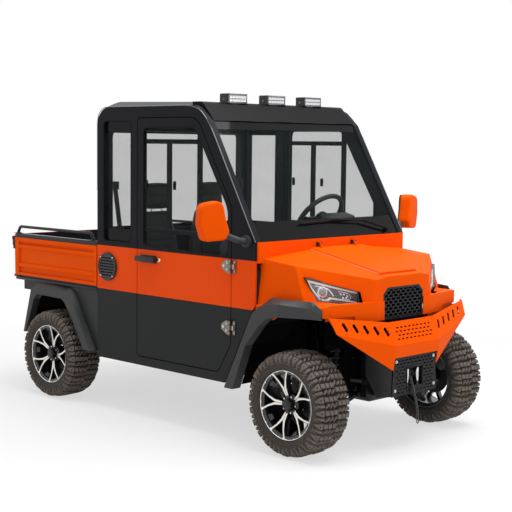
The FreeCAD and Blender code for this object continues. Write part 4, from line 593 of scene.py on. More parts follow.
# %% Boxes and round bars
def block(mesh, low, high, turn=None):
    """Box between two corners, which a matrix may turn."""
    corners = [Vector((x, y, z)) for z in (low[2], high[2]) for x, y in
               ((low[0], low[1]), (high[0], low[1]), (high[0], high[1]), (low[0], high[1]))]
    if turn is not None:
        corners = [turn @ corner for corner in corners]
    ring_walls(mesh, [corners[:4], corners[4:]])


def rod(mesh, start, end, radius, sides=16, end_radius=None):
    """Round bar between two points, which may taper."""
    start, end = Vector(start), Vector(end)
    aim = (end - start).normalized()
    first = aim.orthogonal().normalized()
    second = aim.cross(first)
    sizes = (radius, radius if end_radius is None else end_radius)
    ring_walls(mesh, [circle(place, first, second, size, sides) for place, size in zip((start, end), sizes)])


def hose(mesh, corners, radius, sides=12):
    """Round hose along corners that are cut down to a smooth curve."""
    route = [Vector(corner) for corner in corners]
    for _ in range(4):
        cut = [spot for a, b in zip(route, route[1:]) for spot in (a * 0.75 + b * 0.25, a * 0.25 + b * 0.75)]
        route = [route[0]] + cut + [route[-1]]
    rings, side = [], None
    for k, here in enumerate(route):
        aim = (route[min(k + 1, len(route) - 1)] - route[max(k - 1, 0)]).normalized()
        side = (aim.orthogonal() if side is None else side - aim * side.dot(aim)).normalized()
        rings.append(circle(here, side, aim.cross(side), radius, sides))
    ring_walls(mesh, rings)


def bolt(mesh, place, aim, size, height=None):
    """Hexagon head on a washer, at a place on a face that looks along aim."""
    place, aim = Vector(place), Vector(aim).normalized()
    height = height or size * 0.8
    rod(mesh, place - aim * 0.001, place + aim * height * 0.3, size * 1.35, 16)
    rod(mesh, place + aim * height * 0.3, place + aim * height, size, 6, size * 0.92)


# %% Finished pieces
def make_piece(name, mesh, paints, body="chassis", fold=30, bevel=0.0, segments=2):
    """Turns a bmesh into a named piece with its finish, riding on a body."""
    bmesh.ops.remove_doubles(mesh, verts=mesh.verts, dist=0.00001)
    bmesh.ops.recalc_face_normals(mesh, faces=mesh.faces)
    if bevel:
        sharp = [edge for edge in mesh.edges if edge.calc_face_angle(0) > radians(fold)]
        bmesh.ops.bevel(mesh, geom=sharp, offset=bevel, segments=segments, affect="EDGES", profile=0.6,
                        clamp_overlap=True)
    for face in mesh.faces:
        face.smooth = True
    for edge in mesh.edges:
        edge.smooth = edge.calc_face_angle(0) < radians(fold)
    data = bpy.data.meshes.new(name)
    mesh.to_mesh(data)
    mesh.free()
    for paint in paints if isinstance(paints, (list, tuple)) else [paints]:
        data.materials.append(paint.material)
    piece = bpy.data.objects.new(name, data)
    scene.collection.objects.link(piece)
    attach(piece, body)
    print(name, len(data.polygons), "faces")
    return piece


def stand_in(piece, node, slot):
    """Hides the CAD node that a piece stands for; the slot is not used."""
    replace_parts(piece, node)


def again(name, piece, body, matrix):
    """A second copy of a piece's mesh, moved by a matrix."""
    copy = bpy.data.objects.new(name, piece.data)
    copy.matrix_world = matrix
    scene.collection.objects.link(copy)
    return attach(copy, body)


# %% [markdown]
# The winch strap is a short pull strap of woven webbing. It leaves the thimble between the rollers, hangs
# over the level roller under its own weight, and ends in a stitched loop. Its line is one smooth spline
# steered by the same points as the CAD cord.

# %% The winch strap
strap_points = [(1.482, -0.024, 0.388), (1.499, -0.027, 0.352), (1.507, -0.022, 0.308),
                (1.509, -0.006, 0.262),
                (1.512, 0.002, 0.214), (1.514, 0.005, 0.168)]
strap_curve = bpy.data.curves.new("pull_strap", "CURVE")
strap_curve.dimensions = "3D"
strap_line = strap_curve.splines.new("NURBS")
strap_line.points.add(len(strap_points) - 1)
for point, place in zip(strap_line.points, strap_points):
    point.co = (*place, 1.0)
strap_line.order_u = 3
strap_line.use_endpoint_u = True
strap_curve.bevel_depth = 0.007
strap_curve.bevel_resolution = 4
strap_curve.use_fill_caps = True
strap_curve.materials.append(strap_weave.material)
strap = bpy.data.objects.new("pull_strap", strap_curve)
scene.collection.objects.link(strap)
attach(strap, "chassis")
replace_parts(strap, "winch_strap")
print("strap control points", len(strap_points))

# %% [markdown]
# The tyres are what one sees first on such a vehicle. A smooth carcass is spun from a profile, and every
# block is a strip laid across the tread: upright blocks, slanted blocks, a lug that wraps over the shoulder
# and a lower bar between the lugs. A strip is given by stations, each with its distance from the
# middle along the tyre's own section and its two ends in pitches, so one list bends over the shoulder too.

# %% Tyre section and tread strips
pitches = 24
pitch = 2 * pi / pitches
top_line = [(0, 0.0, 291.4), (60, 60.0, 290.2), (90, 89.6, 286.6), (106, 104.5, 280.6), (122, 115.8, 269.2),
            (138, 121.8, 255.0), (156, 124.4, 237.0)]
foot_line = [(0, 0.0, 275.2), (60, 60.0, 274.0), (90, 87.5, 270.6), (106, 99.5, 265.0), (122, 108.6, 257.5),
             (138, 116.8, 247.0), (156, 120.6, 233.0)]


def on_section(line, distance):
    """Place across the tyre and radius, in millimetres, at a distance along its section."""
    for (s0, y0, r0), (s1, y1, r1) in zip(line, line[1:]):
        if distance <= s1:
            break
    share = (distance - s0) / (s1 - s0)
    return y0 + (y1 - y0) * share, r0 + (r1 - r0) * share


def wound(line, distance, turn, half, sink=0.0):
    y, radius = on_section(line, distance)
    radius = (radius - sink) / 1000
    return Vector((radius * sin(turn), half * y / 1000, radius * cos(turn)))


def strip(mesh, stations, turn, half, sink=0.0, grow=0.05):
    """One block of the tread through stations (distance, first end, last end)."""
    tops, feet = [], []
    low, high = stations[0][0], stations[-1][0]
    for distance, first, last in stations:
        slope = 1.5 if distance == high else -1.5 if distance == low else 0
        tops.append([mesh.verts.new(wound(top_line, distance, turn + a * pitch, half, sink))
                     for a in (first, last)])
        feet.append([mesh.verts.new(wound(foot_line, max(0, distance + slope), turn + a * pitch, half))
                     for a in (first - grow, last + grow)])
    made = []
    for k in range(len(stations) - 1):
        made.append((tops[k][0], tops[k][1], tops[k + 1][1], tops[k + 1][0]))
        made.append((tops[k][0], tops[k + 1][0], feet[k + 1][0], feet[k][0]))
        made.append((tops[k][1], feet[k][1], feet[k + 1][1], tops[k + 1][1]))
    made.append((tops[0][0], feet[0][0], feet[0][1], tops[0][1]))
    made.append((tops[-1][0], tops[-1][1], feet[-1][1], feet[-1][0]))
    for corners in made:
        mesh.faces.new(corners)


upright_blocks = [[(4, -0.26, 0.1), (29, -0.22, 0.14)], [(37, -0.25, 0.12), (61, -0.2, 0.17)],
                  [(69, -0.22, 0.14), (94, -0.18, 0.19)]]
slanted_blocks = [[(2, 0.52, 0.62), (12, 0.4, 0.58), (25, 0.27, 0.37)],
                  [(31, 0.54, 0.65), (42, 0.42, 0.61), (55, 0.29, 0.4)],
                  [(60, 0.55, 0.66), (72, 0.42, 0.62), (86, 0.3, 0.42)]]
shoulder_lug = [(101, -0.3, 0.26), (112, -0.3, 0.24), (124, -0.24, 0.16), (138, -0.14, 0.05),
                (150, -0.07, -0.02)]
shoulder_bar = [(96, 0.4, 0.62), (108, 0.38, 0.64), (122, 0.42, 0.62), (140, 0.47, 0.6)]

# %% Tyre
tread_edge, tread_trim = 0.262, 0.1
tyre = bmesh.new()
bead = [(0.179, 0.096), (0.19, 0.097), (0.1945, 0.101), (0.1965, 0.1085), (0.201, 0.1125),
        (0.206, 0.1172),
        (0.211, 0.118), (0.225, 0.1205)]
shoulder_feet = [(r / 1000, y / 1000) for s, y, r in reversed(foot_line)]
half_profile = bead + shoulder_feet
turned(tyre, half_profile + [(r, -y) for r, y in reversed(half_profile[:-1])], 96)
tyre.faces.ensure_lookup_table()
# Carcass faces between the blocks take the grooves' painted shade.
for face in tyre.faces:
    middle = face.calc_center_median()
    face.material_index = 1 if hypot(middle.x, middle.z) > tread_edge else 2
for step in range(pitches):
    for half, shift in ((1, 0.0), (-1, 0.5)):
        turn = (step + shift) * pitch
        for rows, sink in ((upright_blocks, 0.0), (slanted_blocks, 3.6), ([shoulder_lug], 0.0),
                           ([shoulder_bar], 3.0)):
            for stations in rows:
                cut = [(s, a + (b - a) * tread_trim, b - (b - a) * tread_trim) for s, a, b in stations]
                strip(tyre, [(s, a, b) if half > 0 else (s, -b, -a) for s, a, b in cut], turn, half, sink)
        for lean in (-1, 1):
            ends = [(0.23, -0.22 * lean), (0.23, -0.12 * lean), (0.252, 0.2 * lean),
                    (0.252, 0.1 * lean)]
            ring = [Vector((r * sin(turn + (a + 0.45) * pitch), half * (0.1213 if r < 0.24 else 0.1156),
                            r * cos(turn + (a + 0.45) * pitch))) for r, a in ends]
            ring_walls(tyre, [ring, [p + Vector((0, half * 0.0032, 0)) for p in ring]])
        y, radius = on_section(top_line, 116)
        spot = Vector((radius / 1000 * sin(turn - half * 0.04 * pitch), half * y / 1000,
                       radius / 1000 * cos(turn - half * 0.04 * pitch)))
        away = Vector((spot.x * 2.2, half * 0.55, spot.z * 2.2)).normalized()
        before = len(tyre.faces)
        rod(tyre, spot - away * 0.003, spot + away * 0.0002, 0.0042, 8)
        tyre.faces.ensure_lookup_table()
        # The small shoulder dots take the same darker gap rubber.
        for face in list(tyre.faces)[before:]:
            face.material_index = 1
tyre_piece = make_piece("lugged_tyre_front_right", tyre, (tread_rubber, gap_shade_rubber, wall_rubber),
                        "wheel_front_right", 30)

# %% [markdown]
# The wheel is a cast alloy with five forked spokes. Black paint covers the whole casting and then a lathe
# faces it, so only the front of each fork and small nicks round the rim are bare metal. Each fork is a stem
# at the hub that opens into two legs. The bare faces are strips that lie on the black casting, the way the
# cutter leaves them, with a black groove along the stem.

# %% Alloy wheel
def polar(radius, angle, depth):
    return Vector((radius * sin(angle), depth, radius * cos(angle)))


def leg(mesh, path, widths, fronts, backs, flare=1.3):
    """Spoke leg: a bar that follows (radius, angle) points, with its own front and back depths."""
    rings = []
    for (radius, angle), width, front, back in zip(path, widths, fronts, backs):
        side = width / 2 / radius
        rings.append([polar(radius, angle - side, front), polar(radius, angle + side, front),
                      polar(radius, angle + side * flare, back), polar(radius, angle - side * flare, back)])
    ring_walls(mesh, rings)


wheel = bmesh.new()
barrel = [(0.1905, 0.099), (0.1945, 0.102), (0.194, 0.103), (0.189, 0.1035), (0.185, 0.101),
          (0.18, 0.098),
          (0.172, 0.096), (0.169, 0.09), (0.169, -0.08), (0.176, -0.09), (0.188, -0.097),
          (0.1945, -0.101), (0.1905, -0.103), (0.177, -0.099), (0.1765, 0.094), (0.1905, 0.099)]
turned(wheel, barrel, 96)
turned(wheel, [(0.0, 0.066), (0.046, 0.066), (0.056, 0.06), (0.061, 0.048), (0.06, 0.02), (0.05, 0.012),
               (0.0, 0.012)], 48)
bright = bmesh.new()
forks = 5
spoke_depth = (0.0725, 0.08, 0.0865, 0.094, 0.0995)
for k in range(forks):
    middle = 2 * pi * (k + 0.5) / forks
    for lean in (-1, 1):
        path = [(0.036, middle + lean * 0.12), (0.066, middle + lean * 0.075), (0.094, middle + lean * 0.062),
                (0.14, middle + lean * 0.185), (0.186, middle + lean * 0.285)]
        leg(wheel, path, (0.016, 0.0155, 0.0155, 0.015, 0.019), spoke_depth,
            (0.03, 0.038, 0.048, 0.06, 0.074))
        face = [(0.043, middle + lean * 0.135), (0.066, middle + lean * 0.098),
                (0.096, middle + lean * 0.088),
                (0.14, middle + lean * 0.193), (0.1845, middle + lean * 0.287)]
        lifted = [depth + 0.0012 for depth in spoke_depth]
        leg(bright, face, (0.0068, 0.0105, 0.013, 0.0088, 0.01), lifted, [d - 0.004 for d in lifted], 1.0)
        tip = middle + lean * 0.285
        leg(bright, [(0.18, tip), (0.1885, tip)], (0.018, 0.012), (0.0995, 0.1046), (0.095, 0.0985), 1.0)
    web = middle + pi / forks
    leg(wheel, [(0.15, web), (0.172, web)], (0.03, 0.04), (0.07, 0.086), (0.06, 0.07))
turned(bright, [(0.1872, 0.103), (0.1886, 0.105), (0.1912, 0.1054), (0.192, 0.1036), (0.1872, 0.103)], 96)
for k in range(20):
    notch = 2 * pi * (k + 0.25) / 20
    leg(bright, [(0.1845, notch), (0.1895, notch)], (0.009, 0.007), (0.103, 0.1052), (0.099, 0.101), 1.0)
rim_piece = make_piece("forked_wheel_front_right", wheel, wheel_black, "wheel_front_right", 32, 0.0012)
bright_piece = make_piece("forked_wheel_faces_front_right", bright, turned_alloy, "wheel_front_right", 32,
                          0.0004, 1)

# %% [markdown]
# A raised black cap closes the hub, with five nuts round it in deep pockets. Behind the spokes runs the
# drilled brake disc, which turns with the wheel, and its caliper, which stays with the upright.

# %% Caps, discs and calipers
cap = bmesh.new()
turned(cap, [(0.0, 0.098), (0.022, 0.0974), (0.029, 0.095), (0.0315, 0.089), (0.0335, 0.078),
             (0.0335, 0.056),
             (0.0, 0.056)], 40)
turned(cap, [(0.0185, 0.098), (0.02, 0.0988), (0.0215, 0.098)], 40)
cap_piece = make_piece("wheel_cap_front_right", cap, gloss_black, "wheel_front_right", 34)

nuts = bmesh.new()
for k in range(5):
    angle = 2 * pi * k / 5
    rod(nuts, polar(0.046, angle, 0.062), polar(0.046, angle, 0.076), 0.0062, 6, 0.0056)
nut_piece = make_piece("wheel_nuts_front_right", nuts, polished, "wheel_front_right", 34, 0.0006)

brake = bmesh.new()
turned(brake, [(0.052, 0.004), (0.112, 0.004), (0.112, -0.002), (0.052, -0.002), (0.052, 0.004)], 64)
for k in range(30):
    angle = 2 * pi * k / 30
    rod(brake, polar(0.074 + 0.013 * (k % 3), angle, 0.0042), polar(0.074 + 0.013 * (k % 3), angle, 0.005),
        0.004, 10)
disc_piece = make_piece("brake_disc_front_right", brake, cast_dark, "wheel_front_right", 32)

caliper = bmesh.new()
for first, last, depth in ((-0.42, 0.42, 0.034), (-0.36, 0.36, -0.03)):
    rings = []
    for step in range(7):
        angle = first + (last - first) * step / 6
        swell = 0.006 * sin(pi * step / 6)
        front = depth + (0.004 if depth > 0 else -0.004) * sin(pi * step / 6)
        inner = 0.008 if depth > 0 else -0.006
        rings.append([polar(0.084 - swell, angle, inner), polar(0.084 - swell, angle, front),
                      polar(0.128 + swell, angle, front), polar(0.128 + swell, angle, inner)])
    ring_walls(caliper, rings)
for angle in (-0.2, 0.2):
    rod(caliper, polar(0.105, angle, 0.034), polar(0.105, angle, 0.043), 0.014, 20, 0.012)
for angle in (-0.36, 0.36):
    rod(caliper, polar(0.122, angle, -0.034), polar(0.122, angle, 0.036), 0.007, 12)
    bolt(caliper, polar(0.122, angle, 0.036), (0, 1, 0), 0.006)
block(caliper, (-0.034, -0.03, 0.122), (0.034, 0.034, 0.134))
caliper_piece = make_piece("brake_caliper_front_right", caliper, cast_alloy, "knuckle_right", 32, 0.0012)

# %% Dress the four corners
corners = (("front_right", Vector((front_axle, -half_track, hub_height)), -1, "knuckle_right", -20, -42),
           ("front_left", Vector((front_axle, half_track, hub_height)), 1, "knuckle_left", 14, 42),
           ("rear_right", Vector((rear_axle, -half_track, hub_height)), -1, "chassis", 16, 60),
           ("rear_left", Vector((rear_axle, half_track, hub_height)), 1, "chassis", 50, -60))
for corner, axle, side, hub_body, spun, leaned in corners:
    turn = Matrix.Translation(axle) @ Matrix.Rotation(0 if side > 0 else pi, 4, "Z")
    spin = Matrix.Rotation(radians(spun), 4, "Y")
    lean = Matrix.Rotation(radians(leaned), 4, "Y")
    for first, stem, node, body, place in (
            (tyre_piece, "lugged_tyre_", "tyre_", "wheel_" + corner, turn),
            (rim_piece, "forked_wheel_", "rim_", "wheel_" + corner, turn @ spin),
            (bright_piece, "forked_wheel_faces_", "rim_", "wheel_" + corner, turn @ spin),
            (cap_piece, "wheel_cap_", "rim_", "wheel_" + corner, turn @ spin),
            (nut_piece, "wheel_nuts_", "rim_", "wheel_" + corner, turn @ spin),
            (disc_piece, "brake_disc_", "rim_", "wheel_" + corner, turn @ spin),
            (caliper_piece, "brake_caliper_", None, hub_body, turn @ lean)):
        if corner == "front_right":
            piece = first
            piece.matrix_world = place
            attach(piece, body)
        else:
            piece = again(stem + corner, first, body, place)
        if node:
            stand_in(piece, node + corner, "tyre_rubber" if node == "tyre_" else "rim_alloy")
print("wheels dressed:", [corner[0] for corner in corners])

# %% [markdown]
# Behind its clear cover a headlamp is a small dark room. A black bowl holds a bent light bar along the top
# and the outer edge, a second bar below, a round projector and a faceted reflector. All of it is placed by
# shares of the lamp's own four corners, so one list of places serves both sides.

# %% Places in a headlamp
lamp_top_out, lamp_top_in = Vector((1.18, 0.585, 0.978)), Vector((1.32, 0.305, 0.897))
lamp_low_in, lamp_low_out = Vector((1.325, 0.287, 0.82)), Vector((1.222, 0.54, 0.852))
lamp_aim = (lamp_low_in - lamp_top_out).cross(lamp_top_in - lamp_low_out).normalized()
lamp_aim = lamp_aim if lamp_aim.x > 0 else -lamp_aim


def in_lamp(u, v, depth, side):
    """Place in the lamp: u runs inboard, v up, depth back from the cover."""
    low = lamp_low_out.lerp(lamp_low_in, u)
    high = lamp_top_out.lerp(lamp_top_in, u)
    spot = low.lerp(high, v) - lamp_aim * (depth + 0.004)
    return Vector((spot.x, side * spot.y, spot.z))


def lamp_bar(mesh, route, thick, front, back, side):
    """Flat bar through places (u, v), thick in shares of the lamp's height."""
    for (u0, v0), (u1, v1) in zip(route, route[1:]):
        run = Vector(((u1 - u0) * 3.6, v1 - v0)).normalized()
        du, dv = -run.y * thick / 3.6, run.x * thick
        ends = [(u0 - du, v0 - dv), (u1 - du, v1 - dv), (u1 + du, v1 + dv), (u0 + du, v0 + dv)]
        ring_walls(mesh, [[in_lamp(u, v, d, side) for u, v in ends] for d in (back, front)])


# %% Headlamps
for side, word in named_sides:
    bowl = bmesh.new()
    rings = []
    for edge, depth in ((-0.015, 0.03), (-0.015, -0.001), (0.012, -0.001), (0.03, 0.012), (0.05, 0.052)):
        rings.append([in_lamp(u, v, depth, side) for u, v in
                      ((edge, edge * 3), (1 - edge, edge * 3), (1 - edge, 1 - edge * 3),
                       (edge, 1 - edge * 3))])
    ring_walls(bowl, rings)
    for k in range(6):
        u = 0.46 + 0.028 * k
        lamp_bar(bowl, [(u, 0.66), (u + 0.035, 0.3)], 0.022, 0.024, 0.05, side)
    lamp_bar(bowl, [(0.84, 0.62), (0.97, 0.58)], 0.03, 0.02, 0.05, side)
    lamp_bar(bowl, [(0.84, 0.42), (0.97, 0.4)], 0.03, 0.02, 0.05, side)
    piece = make_piece("headlamp_bowl_" + word, bowl, lamp_black)
    stand_in(piece, "headlamps", "lamp_glass")

    bars = bmesh.new()
    lamp_bar(bars, [(0.985, 0.86), (0.5, 0.87), (0.02, 0.9)], 0.055, 0.006, 0.022, side)
    lamp_bar(bars, [(0.025, 0.94), (0.035, 0.6), (0.115, 0.1)], 0.05, 0.006, 0.022, side)
    lamp_bar(bars, [(0.15, 0.09), (0.24, 0.06), (0.36, 0.22), (0.66, 0.2), (0.93, 0.16)], 0.05, 0.007,
             0.022, side)
    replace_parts(make_piece("headlamp_bars_" + word, bars, lamp_white, bevel=0.0012), "headlamps")

    eye = bmesh.new()
    centre = in_lamp(0.245, 0.5, 0.03, side)
    aim = Vector((lamp_aim.x, side * lamp_aim.y, lamp_aim.z))
    for near, far, radius, end in ((0.0, 0.02, 0.034, 0.032), (0.02, 0.022, 0.032, 0.027)):
        rod(eye, centre + aim * near, centre + aim * far, radius, 32, end)
    lamp_bar(eye, [(0.345, 0.72), (0.395, 0.7), (0.455, 0.36)], 0.045, 0.008, 0.04, side)
    lamp_bar(eye, [(0.14, 0.74), (0.345, 0.73)], 0.03, 0.01, 0.04, side)
    for u, v, wide in ((0.63, 0.6, 0.022), (0.7, 0.62, 0.016), (0.76, 0.54, 0.02), (0.66, 0.4, 0.022),
                       (0.73, 0.42, 0.02)):
        lamp_bar(eye, [(u, v), (u + wide, v - 0.1)], 0.055, 0.018, 0.04, side)
    lamp_bar(eye, [(0.6, 0.72), (0.8, 0.68), (0.84, 0.5), (0.8, 0.3), (0.63, 0.3)], 0.022, 0.014, 0.04,
             side)
    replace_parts(make_piece("headlamp_reflectors_" + word, eye, lamp_chrome, bevel=0.001),
                "headlamps")

    ball = bmesh.new()
    bmesh.ops.create_uvsphere(ball, u_segments=28, v_segments=16, radius=0.0262)
    facing = aim.to_track_quat("Z", "Y").to_matrix().to_4x4()
    ball.transform(Matrix.Translation(centre + aim * 0.016) @ facing @ Matrix.Diagonal((1, 1, 0.55, 1)))
    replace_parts(make_piece("headlamp_lens_" + word, ball, lens_glass, fold=60), "headlamps")

    cover = bmesh.new()
    sheets = []
    for depth in (-0.0015, 0.0015):
        sheets.append([in_lamp(u, v, depth, side)
                       for u, v in ((0.004, 0.01), (0.996, 0.01), (0.996, 0.99), (0.004, 0.99))])
    ring_walls(cover, sheets)
    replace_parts(make_piece("headlamp_cover_" + word, cover, lamp_cover), "headlamps")

# %% [markdown]
# The nose is hollow, and in the picture it is almost black inside, with a few glints. The grille needs a
# radiator behind it, the arches need an inner tub that closes the view between the dampers, and the
# dampers need their springs, because the eye looks for a coil there.

# %% Inside the nose
core = bmesh.new()
block(core, (1.325, -0.17, 0.735), (1.35, 0.17, 0.905))
for k in range(28):
    y = -0.162 + 0.012 * k
    block(core, (1.35, y, 0.74), (1.3535, y + 0.004, 0.9))
for z in (0.735, 0.893):
    block(core, (1.322, -0.176, z), (1.357, 0.176, z + 0.012))
make_piece("radiator_core", core, cast_dark)

# The tub is painted near black as painted shade inside the nose.
tub = bmesh.new()
for side in both_sides:
    block(tub, (0.905, side * 0.262, 0.345), (1.285, side * 0.268, 0.8))
    for k in range(4):
        x = 0.955 + 0.085 * k
        block(tub, (x, side * 0.262, 0.38), (x + 0.022, side * 0.2725, 0.76))
    block(tub, (1.285, side * 0.18, 0.345), (1.291, side * 0.39, 0.735))
block(tub, (1.285, -0.182, 0.3), (1.2905, 0.182, 0.735))
block(tub, (0.905, -0.262, 0.8), (1.29, 0.262, 0.806))
for k in range(5):
    z = 0.4 + 0.06 * k
    block(tub, (1.2905, -0.17, z), (1.2955, 0.17, z + 0.018))
make_piece("nose_tub", tub, liner_shade_black, bevel=0.001)

# %% Damper springs
coil_radius, wire_radius, turns, steps = 0.038, 0.0062, 8, 20
for axle_x in (front_axle, rear_axle):
    for side in both_sides:
        low, high = Vector((axle_x + 0.039, side * 0.43, 0.196)), Vector((axle_x + 0.039, side * 0.2982,
                0.69))
        aim = (high - low).normalized()
        first = aim.orthogonal().normalized()
        second = aim.cross(first)
        coil = bmesh.new()
        rings = []
        reach = (high - low).length
        for k in range(turns * steps + 1):
            angle = 2 * pi * k / steps
            share = 0.2 + 0.62 * k / (turns * steps)
            out = first * cos(angle) + second * sin(angle)
            rings.append(circle(low + aim * reach * share + out * coil_radius, out, aim, wire_radius, 8))
        ring_walls(coil, rings)
        for share in (0.185, 0.835):
            rod(coil, low + aim * reach * share, low + aim * (reach * share + 0.008), 0.046, 28)
        rod(coil, low + aim * reach * 0.84, low + aim * reach * 0.9, 0.026, 24)
        rod(coil, high - Vector((0.03, 0, 0)), high + Vector((0.03, 0, 0)), 0.01, 12)
        bolt(coil, high + Vector((0.03, 0, 0)), (1, 0, 0), 0.009)
        corner = ("front_" if axle_x > 0 else "rear_") + ("left" if side > 0 else "right")
        make_piece("damper_spring_" + corner, coil, spring_steel, fold=40)

# %% [markdown]
# Rubber bellows close the axle joints, and brake hoses run from the frame to the wheels. A bellows is a
# spun zigzag, and a hose is a round section swept along a softened route, so neither needs a sculpted mesh.

# %% Axle boots and brake hoses
boots = bmesh.new()
for axle_x in (front_axle, rear_axle):
    for side in both_sides:
        for start, way in ((0.15, 1), (0.47, -1)):
            profile = []
            for k in range(9):
                wide = 0.04 - 0.0026 * k
                profile.append((wide, side * (start + way * 0.009 * k)))
                profile.append((wide - 0.007, side * (start + way * (0.009 * k + 0.0045))))
            turned(boots, [(0.0, profile[0][1])] + profile + [(0.012, profile[-1][1])], 24,
                   (axle_x, 0, 0.298))
make_piece("axle_boots", boots, hose_rubber, fold=40)

hoses = bmesh.new()
for side in both_sides:
    for route, size in (([(1.1, 0.285, 0.62), (1.13, 0.33, 0.56), (1.15, 0.38, 0.5), (1.13, 0.42, 0.46),
                          (1.12, 0.455, 0.44)], 0.005),
                        ([(1.27, 0.27, 0.6), (1.285, 0.31, 0.52), (1.27, 0.34, 0.43), (1.23, 0.36, 0.36)],
                         0.007),
                        ([(0.98, 0.28, 0.68), (1.02, 0.31, 0.6), (1.03, 0.3, 0.5), (1.01, 0.27, 0.42)],
                         0.006)):
        hose(hoses, [(x, side * y, z) for x, y, z in route], size, 10)
    for x, y, z in ((1.13, 0.33, 0.56), (1.285, 0.31, 0.52), (1.02, 0.31, 0.6)):
        block(hoses, (x - 0.01, side * y - 0.01, z - 0.004), (x + 0.01, side * y + 0.01, z + 0.004))
make_piece("brake_pipes", hoses, hose_rubber, fold=40)

# %% [markdown]
# Low in front sits the winch. The roller guide's two upright rollers are bare steel and catch the light in
# the dark opening; they turn on bolts whose heads show below. Turns of rope lie side by side on the drum.

# %% Winch rollers and rope
roller_x, roller_y = 1.467, 0.046
rollers = bmesh.new()
for y in (-roller_y, roller_y):
    rod(rollers, (roller_x, y, 0.362), (roller_x, y, 0.458), 0.0125, 32)
    rod(rollers, (roller_x, y, 0.458), (roller_x, y, 0.462), 0.0125, 32, 0.01)
    rod(rollers, (roller_x, y, 0.358), (roller_x, y, 0.362), 0.01, 32, 0.0125)
    bolt(rollers, (1.474, y, 0.35), (1, 0, -0.3), 0.0075)
make_piece("fairlead_rollers", rollers, polished, fold=40)

frame_mesh = bmesh.new()
for low, high in ((0.347, 0.356), (0.462, 0.471)):
    block(frame_mesh, (1.4735, -0.064, low), (1.4915, 0.064, high))
for y in (-roller_y, roller_y):
    for z in (0.352, 0.466):
        rod(frame_mesh, (roller_x, y, z - 0.005), (roller_x, y, z + 0.005), 0.0155, 24)
make_piece("fairlead_frame", frame_mesh, powder_and_shade, bevel=0.001)

rope_radius = 0.0052
rope = bmesh.new()
for layer, count in ((0.0335, 13), (0.0405, 12)):
    for k in range(count):
        middle = (k - (count - 1) / 2) * 0.0108
        ring = [(layer + rope_radius * cos(a), middle + rope_radius * sin(a))
                for a in (2 * pi * j / 8 for j in range(9))]
        turned(rope, ring, 36, (1.39, 0, 0.405))
make_piece("winch_rope", rope, strap_weave, fold=50)

# %% [markdown]
# Behind the bumper, thin dark sheets keep mud out of the nose, and folded orange skirts close its ledge.
# Without them the ground shows through from the front. Each is a flat sheet given by the line of its foot.

# %% Bumper bolts, splash panels and skirts
sheet = 0.004
fastened = bmesh.new()
for side in both_sides:
    for y, z in ((0.17, 0.508), (0.178, 0.345)):
        bolt(fastened, (1.4885, side * y, z), (1, 0, 0), 0.007)
    for x in (1.345, 1.375):
        for z in (0.585, 0.645):
            bolt(fastened, (x, side * 0.194, z), (0, side, 0), 0.007)
make_piece("bumper_bolts", fastened, polished, fold=34)

# The splash panels are painted near black as painted shade behind the bumper.
splash = bmesh.new()
for side in both_sides:
    block(splash, (1.332, side * 0.2, 0.6), (1.337, side * 0.59, 0.756))
    for k in range(4):
        y = 0.25 + 0.09 * k
        block(splash, (1.337, side * y, 0.615), (1.342, side * (y + 0.03), 0.745))
    plate = [(1.334, 0.196), (1.334, 0.585), (1.383, 0.583), (1.458, 0.202)]
    ring_walls(splash, [[Vector((x, side * y, z)) for x, y in plate] for z in (0.7, 0.705)])
ledge_line = [(1.32, 0.588), (1.343, 0.556), (1.398, 0.245)]
for side in both_sides:
    inner = [Vector((x - sheet, side * (y - sheet), 0)) for x, y in ledge_line]
    outer = [Vector((x, side * y, 0)) for x, y in ledge_line]
    ring_walls(splash, [[a + Vector((0, 0, 0.605)), b + Vector((0, 0, 0.605)), b + Vector((0, 0, 0.702)),
                         a + Vector((0, 0, 0.702))] for a, b in zip(inner, outer)])

skirts = bmesh.new()
for side in both_sides:
    ring_walls(skirts, [[Vector((x - sheet, side * (y - sheet), low)), Vector((x, side * y, low)),
                         Vector((x, side * y, 0.788)), Vector((x - sheet, side * (y - sheet), 0.788))]
                        for x, y,
                        low in ((1.318, 0.58, 0.752), (1.337, 0.55, 0.74), (1.392, 0.245, 0.695))])
    block(splash, (1.3, side * 0.176, 0.7), (1.384, side * 0.18, 0.93))
    ring_walls(splash, [[Vector((x - 0.004, side * y, low)), Vector((x, side * y, low)),
                         Vector((x, side * y, high)),
                         Vector((x - 0.004, side * y, high))]
                        for x, y, low, high in ((1.436, 0.215, 0.64, 0.7), (1.352, 0.598, 0.685, 0.757))])
make_piece("splash_panels", splash, liner_shade_black, bevel=0.001)
make_piece("ledge_skirts", skirts, shell_orange, bevel=0.001)

# %% [markdown]
# The last pieces of the nose lie along its edges: strips beside the cowl, beads on the lid's rolled edges
# in a paler orange as a painted highlight, the cheeks that carry the winch plate, and a frame round the
# honeycomb.

# %% Cowl, lid edges, winch cheeks and grille frame
cowl_sides = bmesh.new()
for side in both_sides:
    ring_walls(cowl_sides, [[Vector((x, side * y, 0.75)), Vector((x, side * (y - 0.004), 0.75)),
                             Vector((x, side * (y - 0.004), 1.03)), Vector((x, side * y, 1.03))]
                            for x, y in ((0.78, 0.64), (0.856, 0.638), (0.866, 0.606))])
make_piece("cowl_side_fill", cowl_sides, shell_orange, bevel=0.001)

# Beads along the lid's edges, in the paler orange that paints a highlight along its creases.
lid_edges = bmesh.new()
for side in both_sides:
    route = [(x, side * (0.236 - 0.068 * (x - 0.892) / 0.464), 1.1045 - 0.128 * (x - 0.866) / 0.53) for x in
             (0.9, 1.0, 1.1, 1.2, 1.3, 1.35)]
    hose(lid_edges, route, 0.0032, 8)
make_piece("lid_edge_highlights", lid_edges, crease_highlight_orange, "bonnet", 60)

